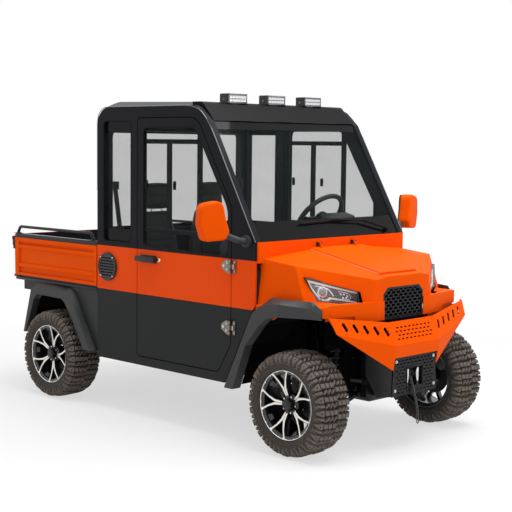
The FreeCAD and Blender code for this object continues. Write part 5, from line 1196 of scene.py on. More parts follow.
gussets = bmesh.new()
for side in both_sides:
    plate = [(1.481, 0.2, 0.528), (1.481, 0.204, 0.313), (1.4, 0.23, 0.302), (1.335, 0.25, 0.42),
             (1.335, 0.25, 0.56)]
    ring_walls(gussets, [[Vector((x, side * (y + off), z)) for x, y, z in plate] for off in (-0.004, 0.0)])
    for x, y, z in ((1.452, 0.2105, 0.48), (1.46, 0.2085, 0.35), (1.375, 0.2375, 0.5)):
        bolt(gussets, (x, side * (y - 0.0005), z), (0.3, side, 0), 0.006)
make_piece("winch_gussets", gussets, panel_grey, bevel=0.0008)

surround_mesh = bmesh.new()
outer = [(-0.177, 0.728), (0.177, 0.728), (0.181, 0.879), (0.141, 0.914), (-0.141, 0.914), (-0.181, 0.879)]
inner = [(y * 0.935, 0.821 + (z - 0.821) * 0.875) for y, z in outer]
ring_walls(surround_mesh, [[Vector((x, y, z)) for y, z in line] for x, line in
        ((1.38, outer), (1.3975, outer), (1.3985, inner), (1.38, inner))], close=True,
        caps=False)
make_piece("grille_frame", surround_mesh, cab_black, "chassis", 28, 0.002)

# %% [markdown]
# Three work lamps stand on the roof's front edge. Each has a bright window of two rows of small reflector
# cups, a frame with four screws, and cooling fins behind. The cups are what one sees of such a lamp, so
# each cell is a real little bowl: four walls that slope back to a light point.

# %% Work lamps on the roof
cells = bmesh.new()
dots = bmesh.new()
rims = bmesh.new()
cell_wide, cell_high = 0.0228, 0.0195
for lamp_y in (-0.333, 0.0, 0.333):
    for row in range(2):
        for column in range(6):
            y0 = lamp_y - 0.0684 + column * cell_wide
            z0 = 1.9535 + row * cell_high
            rings = []
            for inset, x in ((0.0, 0.3765), (0.0008, 0.3785), (0.0075, 0.3745)):
                near, far = y0 + inset, y0 + cell_wide - inset
                low, high = z0 + inset, z0 + cell_high - inset
                rings.append([Vector((x, y, z))
                              for y, z in ((near, low), (far, low), (far, high), (near, high))])
            ring_walls(cells, rings)
            block(dots, (0.374, y0 + 0.0086, z0 + 0.007), (0.3755, y0 + 0.0142, z0 + 0.0125))
    for low, high in ((1.944, 1.9525), (1.9935, 2.0005)):
        block(rims, (0.366, lamp_y - 0.077, low), (0.38, lamp_y + 0.077, high))
    for side in both_sides:
        block(rims, (0.366, lamp_y + side * 0.07, 1.944), (0.38, lamp_y + side * 0.077, 2.0005))
        for z in (1.9485, 1.9965):
            rod(rims, (0.38, lamp_y + side * 0.0715, z), (0.3808, lamp_y + side * 0.0715, z), 0.0026, 12)
        rod(rims, (0.338, lamp_y + side * 0.0765, 1.965), (0.338, lamp_y + side * 0.0795, 1.965), 0.0075, 6)
    for k in range(11):
        y = lamp_y - 0.066 + k * 0.0128
        block(rims, (0.298, y, 1.958), (0.33, y + 0.003, 1.9985))
for name, mesh, paint in (("work_lamp_cells", cells, lamp_chrome), ("work_lamp_lights", dots, lamp_white),
                          ("work_lamp_frames", rims, lamp_grey)):
    make_piece(name, mesh, paint, "chassis", 25, 0.0006 if mesh is rims else 0)

# %% [markdown]
# The mirrors are seen from their painted front. On each there is a round plug near the inner edge, and the
# glass sits in the back, a little inside the shell. The mirror shell in the CAD model is turned by twenty
# degrees, so the new parts are drawn straight and turned the same way.

# %% Mirrors
for side, word in named_sides:
    place = Matrix.Translation((0.733, side * 0.877, 1.279)) @ Matrix.Rotation(radians(20 * side), 4,
            "Z")
    outline_yz = [(-0.078, -0.056), (-0.062, -0.088), (0.05, -0.096), (0.072, -0.02), (0.066, 0.076),
                  (0.05, 0.09),
                  (-0.04, 0.096), (-0.056, 0.08), (-0.062, 0.01)]
    glass = bmesh.new()
    rings = [[place @ Vector((x, side * y * grow, z * grow)) for y, z in outline_yz]
             for x, grow in ((-0.03, 1.0), (-0.0352, 1.0), (-0.0362, 0.96))]
    ring_walls(glass, rings)
    make_piece("mirror_glass_" + word, glass, mirror_glass)
    frame_ring = bmesh.new()
    rings = [[place @ Vector((x, side * y * grow, z * grow)) for y, z in outline_yz]
             for x, grow in ((-0.03, 1.12), (-0.0385, 1.1), (-0.0385, 1.0), (-0.03, 1.0))]
    ring_walls(frame_ring, rings, close=True, caps=False)
    make_piece("mirror_rim_" + word, frame_ring, moulded, bevel=0.001)
    plug = bmesh.new()
    start, end = (place @ Vector((x, side * -0.052, -0.044)) for x in (0.0455, 0.0475))
    rod(plug, start, end, 0.013, 28, 0.013 * 0.86)
    make_piece("mirror_plug_" + word, plug, shell_orange)
    neck = bmesh.new()
    for start, end, first, last in (((0.8, 0.673, 1.16), (0.792, 0.722, 1.166), 0.0205, 0.0185),
            ((0.792, 0.722, 1.166), (0.76, 0.762, 1.186), 0.0185, 0.018),
            ((0.76, 0.762, 1.186), (0.738, 0.79, 1.204), 0.018, 0.0225)):
        rod(neck, (start[0], side * start[1], start[2]), (end[0], side * end[1], end[2]), first, 20, last)
    rod(neck, (0.8, side * 0.6635, 1.16), (0.8, side * 0.6815, 1.16), 0.036, 32, 0.031)
    for angle in (0.6, 2.7, 4.8):
        place_bolt = (0.8 + 0.026 * cos(angle), side * 0.6812, 1.16 + 0.026 * sin(angle))
        bolt(neck, place_bolt, (0, side, 0), 0.004)
    make_piece("mirror_neck_" + word, neck, moulded, fold=40)

# %% [markdown]
# The steering wheel has a thick padded rim with grips, three spokes and a flat boss. It turns with the
# front wheels, so it rides on its own body. The dash behind it gets its instrument, air outlets, switches
# and pedals, which one sees through the screen.

# %% Steering wheel
column_aim = Vector((-0.8, 0, 0.6)).to_track_quat("Z", "Y").to_matrix().to_4x4()
tilt = Matrix.Translation(Vector((0.5, 0.28, 1.247))) @ column_aim
grip = bmesh.new()
rings = []
for k in range(72):
    angle = 2 * pi * k / 72
    out = Vector((cos(angle), sin(angle), 0))
    thick = 0.015 + 0.0022 * max(0.0, cos(2 * angle)) + (0.0007 if k % 2 else 0.0)
    rings.append([tilt @ (out * (0.172 + thick * cos(a)) + Vector((0, 0, thick * 0.94 * sin(a))))
                  for a in around(14)])
ring_walls(grip, rings, close=True)
grip_piece = make_piece("steering_grip", grip, cabin_trim, "steering", 50)
spokes = bmesh.new()
for angle in (0.0, pi / 2 * 3, pi):
    turn = tilt @ Matrix.Rotation(angle, 4, "Z")
    rings = [[turn @ Vector((x, y, z))
              for y, z in ((-w, d - 0.006), (w, d - 0.006), (w * 0.8, d + 0.004), (-w * 0.8, d + 0.004))]
             for x, w,
             d in ((0.035, 0.026, -0.014), (0.085, 0.019, -0.012), (0.13, 0.016, -0.006),
                   (0.166, 0.02, 0.0))]
    ring_walls(spokes, rings)
rod(spokes, tilt @ Vector((0, 0, -0.028)), tilt @ Vector((0, 0, 0.002)), 0.056, 40, 0.048)
rod(spokes, tilt @ Vector((0, 0, 0.002)), tilt @ Vector((0, 0, 0.006)), 0.048, 40, 0.038)
rod(spokes, tilt @ Vector((0, 0, -0.09)), tilt @ Vector((0, 0, -0.026)), 0.022, 28, 0.03)
spoke_piece = make_piece("steering_spokes", spokes, gloss_black, "steering", 30, 0.0018)
for piece in (grip_piece, spoke_piece):
    stand_in(piece, "steering_wheel", "black_plastic")

# %% Dash fittings
dash = bmesh.new()
block(dash, (0.586, 0.178, 1.166), (0.596, 0.382, 1.232))
block(dash, (0.5135, -0.565, 1.01), (0.5235, -0.3, 1.075))
for y in (-0.535, -0.12, 0.02, 0.535):
    block(dash, (0.519, y - 0.058, 1.083), (0.533, y + 0.058, 1.121))
    for k in range(6):
        block(dash, (0.5165, y - 0.052, 1.086 + k * 0.0056), (0.522, y + 0.052, 1.0876 + k * 0.0056))
for k in range(5):
    block(dash, (0.5235, 0.06 - k * 0.04, 0.996), (0.5345, 0.088 - k * 0.04, 1.04))
    block(dash, (0.5195, 0.064 - k * 0.04, 1.004), (0.5255, 0.084 - k * 0.04, 1.03))
rod(dash, (0.52, -0.432, 1.042), (0.512, -0.432, 1.042), 0.013, 24, 0.011)
for y in (-0.06, 0.01):
    rod(dash, (0.52, y, 1.06), (0.508, y, 1.06), 0.016, 24, 0.014)
rod(dash, (0.545, 0.345, 1.205), (0.525, 0.47, 1.222), 0.0065, 12, 0.009)
rod(dash, (0.545, 0.215, 1.205), (0.525, 0.1, 1.222), 0.0065, 12, 0.009)
make_piece("dash_fittings", dash, cabin_trim, bevel=0.0015)

# %% Instrument
cowl = bmesh.new()
rings = [[Vector((x, 0.28 + w, z)) for w, z in ((-wide, 1.165), (-wide, high - 0.03), (0.03 - wide, high),
                                                 (wide - 0.03, high), (wide, high - 0.03), (wide, 1.165))]
         for x, high,
         wide in ((0.602, 1.256, 0.1), (0.604, 1.278, 0.108), (0.65, 1.284, 0.11), (0.72, 1.268, 0.104),
                               (0.772, 1.215, 0.09))]
ring_walls(cowl, rings)
for k in range(4):
    rod(cowl, (0.596, 0.205 + 0.05 * k, 1.181), (0.603, 0.205 + 0.05 * k, 1.181), 0.0055, 14)
make_piece("instrument_cowl", cowl, cabin_trim, "chassis", 30, 0.004, 3)
screen = bmesh.new()
for low, high in (((0.5965, 0.197, 1.192), (0.6025, 0.363, 1.196)),
                  ((0.5965, 0.197, 1.243), (0.6025, 0.363, 1.247)),
                  ((0.5965, 0.197, 1.192), (0.6025, 0.201, 1.247)),
                  ((0.5965, 0.359, 1.192), (0.6025, 0.363, 1.247)),
                  ((0.5995, 0.2, 1.195), (0.6025, 0.36, 1.244))):
    block(screen, low, high)
make_piece("instrument_screen", screen, screen_face, bevel=0.0006)

# %% Pedals and lever
pedals = bmesh.new()
for y, wide in ((0.175, 0.036), (0.3, 0.046)):
    rings = [[Vector((x, y + s * wide, z)) for s in (-1, 1)] + [Vector((x + 0.01, y + s * wide, z - 0.006))
                                                                for s in (1, -1)]
             for x, z in ((0.585, 0.455), (0.618, 0.52), (0.646, 0.56))]
    ring_walls(pedals, rings)
    for k in range(5):
        x, z = 0.588 + 0.011 * k, 0.466 + 0.0195 * k
        block(pedals, (x - 0.006, y - wide * 0.86, z), (x + 0.002, y + wide * 0.86, z + 0.006))
    rod(pedals, (0.64, y, 0.53), (0.735, y, 0.7), 0.009, 12)
rod(pedals, (0.15, 0.055, 0.62), (0.185, 0.055, 0.8), 0.008, 14)
rod(pedals, (0.185, 0.055, 0.79), (0.197, 0.055, 0.845), 0.019, 20, 0.014)
make_piece("pedals_and_lever", pedals, cast_dark, "chassis", 34, 0.001)

# %% [markdown]
# The seats are stuffed. A stuffed cushion is not a rounded box: its cover is sewn flat, the filling pushes
# it out between the seams, and its faces crown. The quick way would be a subdivided box. Here the cover is
# a cloth that a pressure inflates for twenty frames, held to a set swell, and the seams are pressed in
# afterwards, with a welt sewn along the edge. One cushion and one back are made, and both seats share them.

# %% Stuffed seats


cover_cell, cloth_pressure, puff_frames = 0.0085, 4.0, 20
seam_reach, seam_width, seam_depth = 0.022, 0.0065, 0.009


def stuffed(name, slices, swell, seams):
    """Cover through slices of points, inflated as cloth, then pressed in along seams."""
    shape = bmesh.new()
    ring_walls(shape, slices)
    bmesh.ops.recalc_face_normals(shape, faces=shape.faces)
    data = bpy.data.meshes.new(name)
    shape.to_mesh(data)
    shape.free()
    piece = bpy.data.objects.new(name, data)
    scene.collection.objects.link(piece)
    remesh = piece.modifiers.new("even_cover", "REMESH")
    remesh.mode = "VOXEL"
    remesh.voxel_size = cover_cell
    smooth = piece.modifiers.new("rounded_cover", "SMOOTH")
    smooth.factor = 0.5
    smooth.iterations = 5
    bpy.context.view_layer.update()
    flat = bpy.data.meshes.new_from_object(piece.evaluated_get(bpy.context.evaluated_depsgraph_get()))
    piece.modifiers.clear()
    piece.data = flat
    rest = [v.co.copy() for v in flat.vertices]
    cloth = piece.modifiers.new("stuffing", "CLOTH")
    cloth.settings.quality = 4
    cloth.settings.mass = 0.25
    cloth.settings.tension_stiffness = 18
    cloth.settings.compression_stiffness = 18
    cloth.settings.use_pressure = True
    cloth.settings.uniform_pressure_force = cloth_pressure
    cloth.settings.effector_weights.gravity = 0
    cloth.point_cache.frame_start = 1
    cloth.point_cache.frame_end = puff_frames
    for frame_number in range(1, puff_frames + 1):
        scene.frame_set(frame_number)
    puffed = piece.evaluated_get(bpy.context.evaluated_depsgraph_get()).data
    for vertex, start, end in zip(flat.vertices, rest, [v.co.copy() for v in puffed.vertices]):
        move = end - start
        vertex.co = start + move * min(1.0, swell / max(move.length, 1e-6))
    piece.modifiers.clear()
    scene.frame_set(1)
    for vertex in flat.vertices:
        depth = 0.0
        for axis, where, low, high in seams:
            away = abs(vertex.co[axis] - where)
            other = vertex.co[1 - axis] if axis < 2 else vertex.co[1]
            if away < seam_reach and low < other < high:
                depth = max(depth, exp(-(away / seam_width) ** 2))
        if depth:
            vertex.co -= vertex.normal * seam_depth * depth
    for polygon in flat.polygons:
        polygon.use_smooth = True
    flat.materials.append(vinyl.material)
    finer = piece.modifiers.new("finer", "SUBSURF")
    finer.levels = finer.render_levels = 1
    return piece


# %% Welt and rounded outline
def welt(name, cover, line, radius, body):
    """Round piping that follows the nearest place on a cover."""
    tree = BVHTree.FromObject(cover, bpy.context.evaluated_depsgraph_get())
    snapped = []
    for point in line:
        near, normal, _, _ = tree.find_nearest(point)
        snapped.append(near + normal * radius * 0.35)
    for _ in range(2):
        snapped = [(snapped[k - 1] + snapped[k] * 2 + snapped[(k + 1) % len(snapped)]) / 4
                   for k in range(len(snapped))]
    mesh = bmesh.new()
    rings = []
    for k, point in enumerate(snapped):
        aim = (snapped[(k + 1) % len(snapped)] - snapped[k - 1]).normalized()
        side = aim.cross(Vector((0, 0, 1)) if abs(aim.z) < 0.9 else Vector((1, 0, 0))).normalized()
        rings.append(circle(point, side, aim.cross(side), radius, 8))
    ring_walls(mesh, rings, close=True)
    return make_piece(name, mesh, vinyl_welt, body, 60)


def rounded(half_x, half_y, corner, count=7):
    """Points round a rounded rectangle about the origin."""
    points = []
    for quarter, (sx, sy) in enumerate(((1, 1), (-1, 1), (-1, -1), (1, -1))):
        for k in range(count):
            a = pi / 2 * (quarter + k / (count - 1))
            points.append((sx * (half_x - corner) + corner * cos(a),
                           sy * (half_y - corner) + corner * sin(a)))
    return points


# %% Cushion, back and headrest
cushion_slices = [[Vector((x * grow_x, y * grow_y, z + (0.012 * x / 0.25 if z > 0.05 else 0)))
                   for x, y in rounded(0.255, 0.207, 0.05)]
                  for z, grow_x,
                  grow_y in ((0.006, 0.94, 0.94), (0.03, 0.985, 0.985), (0.072, 0.985, 0.985),
                             (0.094, 0.93, 0.92))]
cushion = stuffed("seat_cushion_left", cushion_slices, 0.014,
                  [(0, 0.15, -0.16, 0.16), (0, 0.04, -0.16, 0.16), (0, -0.07, -0.16, 0.16),
                   (1, 0.145, -0.3, 0.3),
                   (1, -0.145, -0.3, 0.3)])
back_slices = [[Vector((x, y * grow, z)) for x, y in rounded(deep / 2, 0.198, min(0.03, deep / 2.4))]
               for z, grow, deep in
               ((0.0, 0.94, 0.052), (0.04, 1.0, 0.074), (0.3, 1.0, 0.072), (0.48, 0.8, 0.066),
                (0.58, 0.63, 0.058), (0.605, 0.57, 0.044))]
back_rest = stuffed("seat_back_left", back_slices, 0.01,
                    [(2, 0.16, -0.14, 0.14), (2, 0.28, -0.14, 0.14), (2, 0.4, -0.12, 0.12)])
head_slices = [[Vector((x, y * grow, z)) for x, y in rounded(deep / 2, 0.1, min(0.022, deep / 2.4))]
               for z, grow, deep in
               ((0.0, 0.9, 0.04), (0.02, 1.0, 0.06), (0.14, 1.0, 0.064), (0.165, 0.9, 0.044))]
head_rest = stuffed("seat_headrest_left", head_slices, 0.008, [(2, 0.082, -0.09, 0.09)])
cushion_welt = welt("seat_welt_left", cushion,
                    [Vector((x, y, 0.086)) for x, y in rounded(0.262, 0.214, 0.05, 14)], 0.0042, "chassis")
print("cushion faces", len(cushion.data.polygons), "back faces", len(back_rest.data.polygons))

for piece, spot, node, fill, lean in ((cushion, Vector((-0.17, 0.24, 0.6405)), "seat_cushions", 0.8, 0.0),
        (back_rest, Vector((-0.462, 0.24, 0.662)), "seat_backs", 0.8, -0.04),
        (head_rest, Vector((-0.47, 0.24, 1.275)), "seat_backs", 0.85, -0.04),
        (cushion_welt, Vector((-0.17, 0.24, 0.6405)), None, 0, 0.0)):
    place = Matrix.Translation(spot) @ Matrix.Rotation(lean, 4, "Y")
    piece.matrix_world = place
    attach(piece, "chassis")
    twin = again(piece.name.replace("_left", "_right"), piece, "chassis",
                 Matrix.Translation((0, -0.48, 0)) @ place)
    for modifier in piece.modifiers:
        extra = twin.modifiers.new(modifier.name, modifier.type)
        extra.levels = extra.render_levels = modifier.levels
    for each in (piece, twin):
        if node:
            stand_in(each, node, "seat_vinyl")

# %% [markdown]
# Bright posts carry each headrest, steel plates join back and cushion, and a belt hangs behind each seat
# from its shoulder guide. A belt is a flat strip between the places where it bends.

# %% Headrest posts and belts
posts = bmesh.new()
for y in (-0.24, 0.24):
    for dy in (-0.045, 0.045):
        rod(posts, (-0.474, y + dy, 1.235), (-0.472, y + dy, 1.3), 0.006, 14)
    for dy in (-0.235, 0.225):
        block(posts, (-0.47, y + dy, 0.642), (-0.43, y + dy + 0.014, 0.72))
make_piece("headrest_posts", posts, polished, fold=34)

belts = bmesh.new()
wide, thick = Vector((0.023, 0, 0)), Vector((0, 0.0012, 0))
for side in both_sides:
    route = [Vector((x, side * y, z)) for x, y, z in
             ((-0.5, 0.565, 1.42), (-0.492, 0.545, 1.25), (-0.47, 0.52, 0.95), (-0.455, 0.505, 0.68))]
    for ends in zip(route, route[1:]):
        ring_walls(belts, [[p - wide - thick, p + wide - thick, p + wide + thick, p - wide + thick]
                           for p in ends])
    block(belts, (-0.52, side * 0.56 - 0.012, 1.405), (-0.48, side * 0.56 + 0.012, 1.455))
    block(belts, (-0.462, side * 0.03 - 0.012, 0.7), (-0.436, side * 0.03 + 0.012, 0.79))
make_piece("lap_belts", belts, strap_weave, bevel=0.0006)

# %% [markdown]
# Small things make a door believable. A rubber bead holds each pane, the handle has a cup behind it and a
# lock beside it, the hinge leaves are bolted on, and a catch holds the sliding pane. A bead follows the
# window's outline, whose corners are rounded by short curves.

# %% Beads round the panes
def rounded_route(corners, reach, steps=6, closed=True):
    """Points (a, b) along an outline whose corners are rounded within a reach."""
    route = []
    count = len(corners)
    for k, here in enumerate(corners):
        here = Vector(here)
        if not closed and k in (0, count - 1):
            route.append(here)
            continue
        before, after = Vector(corners[k - 1]), Vector(corners[(k + 1) % count])
        start = here + (before - here).normalized() * min(reach, (before - here).length * 0.45)
        end = here + (after - here).normalized() * min(reach, (after - here).length * 0.45)
        for j in range(steps + 1):
            t = j / steps
            route.append(start * (1 - t) ** 2 + here * (2 * t * (1 - t)) + end * t ** 2)
    return route


def bead(mesh, route, y, radius, closed=True):
    """Round rubber bead along (x, z) points at one distance from the middle."""
    count = len(route)
    rings = []
    for k, point in enumerate(route):
        before = route[k - 1] if closed or k else point
        after = route[(k + 1) % count] if closed or k < count - 1 else point
        aim = (after - before).normalized()
        side = Vector((-aim.y, 0, aim.x))
        middle = Vector((point.x, y, point.y))
        rings.append(circle(middle, side, Vector((0, 1, 0)), radius, 8))
    ring_walls(mesh, rings, close=closed)


hinge_heights = (0.658, 1.009)
skin_face, leaf_face = 0.6634, 0.6693
vent = Vector((-0.444, 0, 0.92))
vent_screen = 0.074
door_pane = [(-0.106, 1.076), (0.646, 1.06), (0.646, 1.334), (0.363, 1.797), (-0.106, 1.797)]
quarter_pane = [(-0.495, 1.082), (-0.222, 1.082), (-0.222, 1.838), (-0.495, 1.838)]
for side, word in named_sides:
    seals = bmesh.new()
    bead(seals, rounded_route(door_pane, 0.045), side * 0.6595, 0.0052)
    make_piece("door_pane_bead_" + word, seals, hose_rubber, "door_" + word, 60)
    quarter_bead = bmesh.new()
    bead(quarter_bead, rounded_route(quarter_pane, 0.03), side * 0.66, 0.0048)
    make_piece("quarter_pane_bead_" + word, quarter_bead, hose_rubber, fold=60)

# %% Handles, locks and catches
for side, word in named_sides:
    grip_parts = bmesh.new()
    block(grip_parts, (-0.128, side * skin_face, 0.974), (0.022, side * 0.666, 1.021))
    block(grip_parts, (-0.142, side * 0.685, 0.9815), (0.036, side * 0.7, 1.0135))
    make_piece("door_handle_" + word, grip_parts, handle_black, "door_" + word, 30, 0.004, 3)
    lock = bmesh.new()
    rod(lock, (0.052, side * skin_face, 0.9975), (0.052, side * 0.672, 0.9975), 0.011, 28)
    rod(lock, (0.052, side * 0.672, 0.9975), (0.052, side * 0.6735, 0.9975), 0.011, 28, 0.0085)
    block(lock, (0.0512, side * 0.6734, 0.9925), (0.0528, side * 0.6742, 1.0025))
    for z in hinge_heights:
        for x, dz in ((0.62, 0.0), (0.648, 0.022), (0.648, -0.022)):
            bolt(lock, (x, side * leaf_face, z + dz), (0, side, 0), 0.0062)
    make_piece("door_lock_and_bolts_" + word, lock, polished, "door_" + word, 34)
    catches = bmesh.new()
    for x, z in ((0.168, 1.452), (-0.09, 1.452)):
        block(catches, (x, side * 0.652, z - 0.026), (x + 0.02, side * 0.6605, z + 0.026))
        block(catches, (x + 0.003, side * 0.66, z - 0.01), (x + 0.017, side * 0.666, z + 0.01))
    make_piece("pane_catches_" + word, catches, hose_rubber, "door_" + word, 30, 0.0015)

# %% [markdown]
# Each hinge is bolted through the pillar, and the round vent behind the door has a pressed ring, four
# screws and a louvred screen. The ring is spun and the louvres are bars cut to the circle's chord.

# %% Hinge bolts and vent covers
for side, word in named_sides:
    pillar_bolts = bmesh.new()
    for z in hinge_heights:
        for dz in (-0.026, 0.026):
            bolt(pillar_bolts, (0.705, side * leaf_face, z + dz), (0, side, 0), 0.0062)
        block(pillar_bolts, (0.694, side * leaf_face, z - 0.013), (0.712, side * 0.68, z + 0.013))
    make_piece("pillar_hinge_bolts_" + word, pillar_bolts, plated_steel, "chassis", 34, 0.0008)
    cover_ring = bmesh.new()
    turned(cover_ring,
           [(0.0895, side * skin_face), (0.088, side * 0.679), (0.0835, side * 0.6812),
            (0.078, side * 0.6785),
                        (0.078, side * 0.67)], 64, vent)
    make_piece("vent_ring_" + word, cover_ring, moulded, fold=40)
    screws = bmesh.new()
    for k in range(4):
        angle = pi / 4 + pi / 2 * k
        spot = vent + Vector((0.083 * cos(angle), side * 0.68, 0.083 * sin(angle)))
        rod(screws, spot, spot + Vector((0, side * 0.0026, 0)), 0.0044, 14, 0.0034)
    make_piece("vent_screws_" + word, screws, polished)
    # The disc behind the louvres is painted near black as painted shade in the vent.
    mesh_disc = bmesh.new()
    turned(mesh_disc,
           [(0.0, side * 0.6655), (0.074, side * 0.6655), (0.074, side * 0.6665), (0.0, side * 0.6665)], 40,
           vent)
    for k in range(7):
        z = -0.054 + 0.018 * k
        reach = sqrt(vent_screen ** 2 - z ** 2)
        block(mesh_disc, (vent.x - reach, side * 0.6665, vent.z + z - 0.0012),
              (vent.x + reach, side * 0.6715, vent.z + z + 0.0012))
    make_piece("vent_screen_" + word, mesh_disc, liner_shade_black, fold=40)
    # A thin light grey rod along the pillar and roof edge: a painted highlight on the edge's radius.
    edge = bmesh.new()
    route = rounded_route([(0.8645, 1.158), (0.48, 1.829), (0.372, 1.9245), (-0.557, 1.9245),
                           (-0.5575, 1.4)], 0.115, 8, False)
    bead(edge, route, side * 0.6615, 0.0026, False)
    make_piece("cab_edge_trim_" + word, edge, edge_highlight_grey, fold=60)

# %% [markdown]
# The load bed is a working box, with ribs pressed into its sides and its floor so that thin sheet stays
# stiff, feet under each rail and a cap along its top. Inside the rear arches thin walls keep the mud out.

# %% Ribs on the bed's sides
bed_ribs = bmesh.new()
for side in both_sides:
    for z in (0.986, 0.856):
        ring_walls(bed_ribs, [[Vector((x, side * y, z + dz)) for y, dz in
                               ((0.656, -0.019), (0.665, -0.01), (0.6655, 0.006),
                                (0.656, 0.015))] for x in (-1.434, -0.596)])
    for low, high in (((-1.478, 0.657, 1.018), (-0.568, 0.6655, 1.043)),
                      ((-1.478, 0.657, 0.785), (-0.568, 0.6655, 0.806)),
                      ((-1.478, 0.657, 0.806), (-1.436, 0.6655, 1.018)),
                      ((-0.594, 0.657, 0.806), (-0.568, 0.6655, 1.018))):
        block(bed_ribs, (low[0], side * low[1], low[2]), (high[0], side * high[1], high[2]))
make_piece("bed_side_ribs", bed_ribs, shell_orange, "bed", 30, 0.0015)
# %% Sill and arch walls
sill = bmesh.new()
for side in both_sides:
    ring_walls(sill, [[Vector((x, side * y, z))
                       for y, z in ((0.63, 0.77), (0.66, 0.7712), (0.66, 0.756), (0.656, 0.752),
                                                             (0.63, 0.752))] for x in (-1.476, -0.57)])
make_piece("bed_sill", sill, panel_grey, "bed", 30, 0.001)
# The arch walls are painted near black as painted shade inside the rear arches.
walls = bmesh.new()
for side in both_sides:
    ring_walls(walls, [[Vector((x, side * y, z)) for y, z in
                        ((0.345, 0.46), (0.345, 0.724), (0.628, 0.724),
                         (0.628, 0.5))] for x in (-1.345, -1.349)])
    block(walls, (-1.345, side * 0.345, 0.48), (-0.7, side * 0.349, 0.724))
    for k in range(6):
        block(walls, (-1.3 + 0.1 * k, side * 0.349, 0.5), (-1.29 + 0.1 * k, side * 0.356, 0.705))
    block(walls, (-1.345, side * 0.622, 0.722), (-0.572, side * 0.63, 0.75))
make_piece("arch_inner_walls", walls, liner_shade_black, bevel=0.001)
# %% Bed floor, rail feet and top cap
rail_y = 0.641
bed_floor = bmesh.new()
for k in range(13):
    y = -0.564 + 0.094 * k
    rings = [[Vector((x, y + w, 0.8055 + h))
              for w, h in ((-0.02, 0.0), (-0.012, 0.005), (0.012, 0.005), (0.02, 0.0))]
             for x in (-1.47, -0.605)]
    ring_walls(bed_floor, rings)
make_piece("bed_floor_ribs", bed_floor, panel_grey, "bed", 30)
feet = bmesh.new()
for side in both_sides:
    for x in (-1.463, -0.63):
        block(feet, (x - 0.034, side * rail_y - 0.017, 1.069), (x + 0.034, side * rail_y + 0.017, 1.073))
        rod(feet, (x, side * rail_y, 1.072), (x, side * rail_y, 1.079), 0.015, 20, 0.0125)
        for dx in (-0.025, 0.025):
            bolt(feet, (x + dx, side * rail_y, 1.073), (0, 0, 1), 0.0045)
    for z in (0.8, 1.03):
        for x in (-1.462, -0.586):
            rod(feet, (x, side * 0.6568, z), (x, side * 0.659, z), 0.0058, 14, 0.0046)
make_piece("bed_rail_feet", feet, cab_black, "bed", 30, 0.0008)
cap_strip = bmesh.new()
for side in both_sides:
    block(cap_strip, (-1.4775, side * 0.621, 1.068), (-0.569, side * 0.66, 1.0712))
block(cap_strip, (-0.594, -0.622, 1.068), (-0.569, 0.622, 1.0712))
make_piece("bed_top_cap", cap_strip, cab_black, "bed", 30, 0.0012)
# %% [markdown]
# The gate closes the bed with a pull bar and two latches, and below it sit the lamps in their housings.

# %% Gate latches and rear lamps
lamp_mid = 0.425
gate = bmesh.new()
block(gate, (-1.5085, -0.085, 0.935), (-1.5035, 0.085, 0.975))
rod(gate, (-1.5135, -0.07, 0.955), (-1.5135, 0.07, 0.955), 0.007, 16)
for y in (-0.07, 0.07):
    rod(gate, (-1.5045, y, 0.955), (-1.515, y, 0.955), 0.008, 16)
for y in (-0.61, 0.61):
    for z in (0.8, 0.9, 1.02):
        bolt(gate, (-1.5065, y, z), (-1, 0, 0), 0.005)
for side in both_sides:
    block(gate, (-1.525, side * 0.64 - 0.014, 0.985), (-1.499, side * 0.64 + 0.014, 1.05))
    rod(gate, (-1.52, side * 0.64, 0.96), (-1.52, side * 0.64, 1.004), 0.01, 16)
    rod(gate, (-1.518, side * 0.64 - 0.016, 1.036), (-1.518, side * 0.64 + 0.016, 1.036), 0.011, 16)
    block(gate, (-1.515, side * 0.59 - 0.018, 0.992), (-1.5095, side * 0.59 + 0.018, 1.042))
    rod(gate, (-1.515, side * 0.59, 1.03), (-1.519, side * 0.59, 1.03), 0.0085, 18)
make_piece("gate_handle", gate, handle_black, "tailgate", 30, 0.001)
housing = bmesh.new()
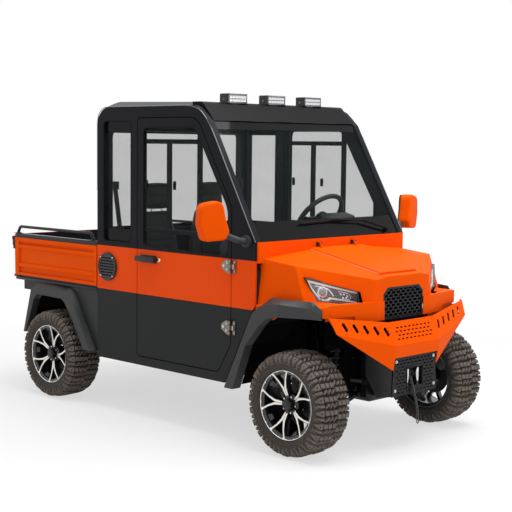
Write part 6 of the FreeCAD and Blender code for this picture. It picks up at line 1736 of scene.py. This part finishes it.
white_lens = bmesh.new()
for side in both_sides:
    for low, high in ((0.676, 0.683), (0.727, 0.734)):
        block(housing, (-1.466, side * lamp_mid - 0.078, low), (-1.4405, side * lamp_mid + 0.078, high))
    for dy in (-0.078, 0.071):
        block(housing, (-1.466, side * lamp_mid + dy, 0.676),
              (-1.4405, side * lamp_mid + dy + 0.007, 0.734))
    block(white_lens, (-1.465, side * 0.375 - 0.018, 0.686), (-1.46, side * 0.375 + 0.018, 0.724))
make_piece("rear_lamp_housing", housing, lamp_black, bevel=0.0015)
make_piece("reverse_lens", white_lens, lamp_white, bevel=0.001)
# %% [markdown]
# Behind the rear axle the drive motor shows its cooling fins, its cover bolts and three thick cables. The
# case is a stack of rings along the axle's line, with one fin turned about it again and again.

# %% Motor and leads
shaft_height = 0.365
motor = bmesh.new()
rings = [(-1.178, 0.098), (-1.186, 0.104), (-1.29, 0.104), (-1.298, 0.094), (-1.302, 0.06)]
ring_walls(motor, [[Vector((x, r * cos(a), shaft_height + r * sin(a))) for a in around(48)]
                   for x, r in rings])
for a in around(24):
    turn = Matrix.Translation((0, 0, shaft_height)) @ Matrix.Rotation(a, 4, "X")
    block(motor, (-1.286, -0.002, 0.1), (-1.192, 0.002, 0.118), turn)
for a in around(6):
    bolt(motor, (-1.302, 0.046 * cos(a), shaft_height + 0.046 * sin(a)), (-1, 0, 0), 0.006)
for k in range(9):
    block(motor, (-1.178 + 0.034 * k, -0.114, 0.48), (-1.17 + 0.034 * k, 0.114, 0.492))
make_piece("motor_case", motor, cast_alloy, "chassis", 34, 0.001)
leads = bmesh.new()
for dy in (-0.03, 0.0, 0.03):
    route = [(-1.245, dy, 0.47), (-1.23, dy * 1.3, 0.52), (-1.18, dy * 1.5, 0.56),
             (-1.09, dy * 1.5, 0.575), (-0.96, dy * 1.5, 0.57)]
    hose(leads, route, 0.0085)
block(leads, (-1.262, -0.05, 0.462), (-1.226, 0.05, 0.486))
make_piece("motor_leads", leads, hose_rubber, fold=40)
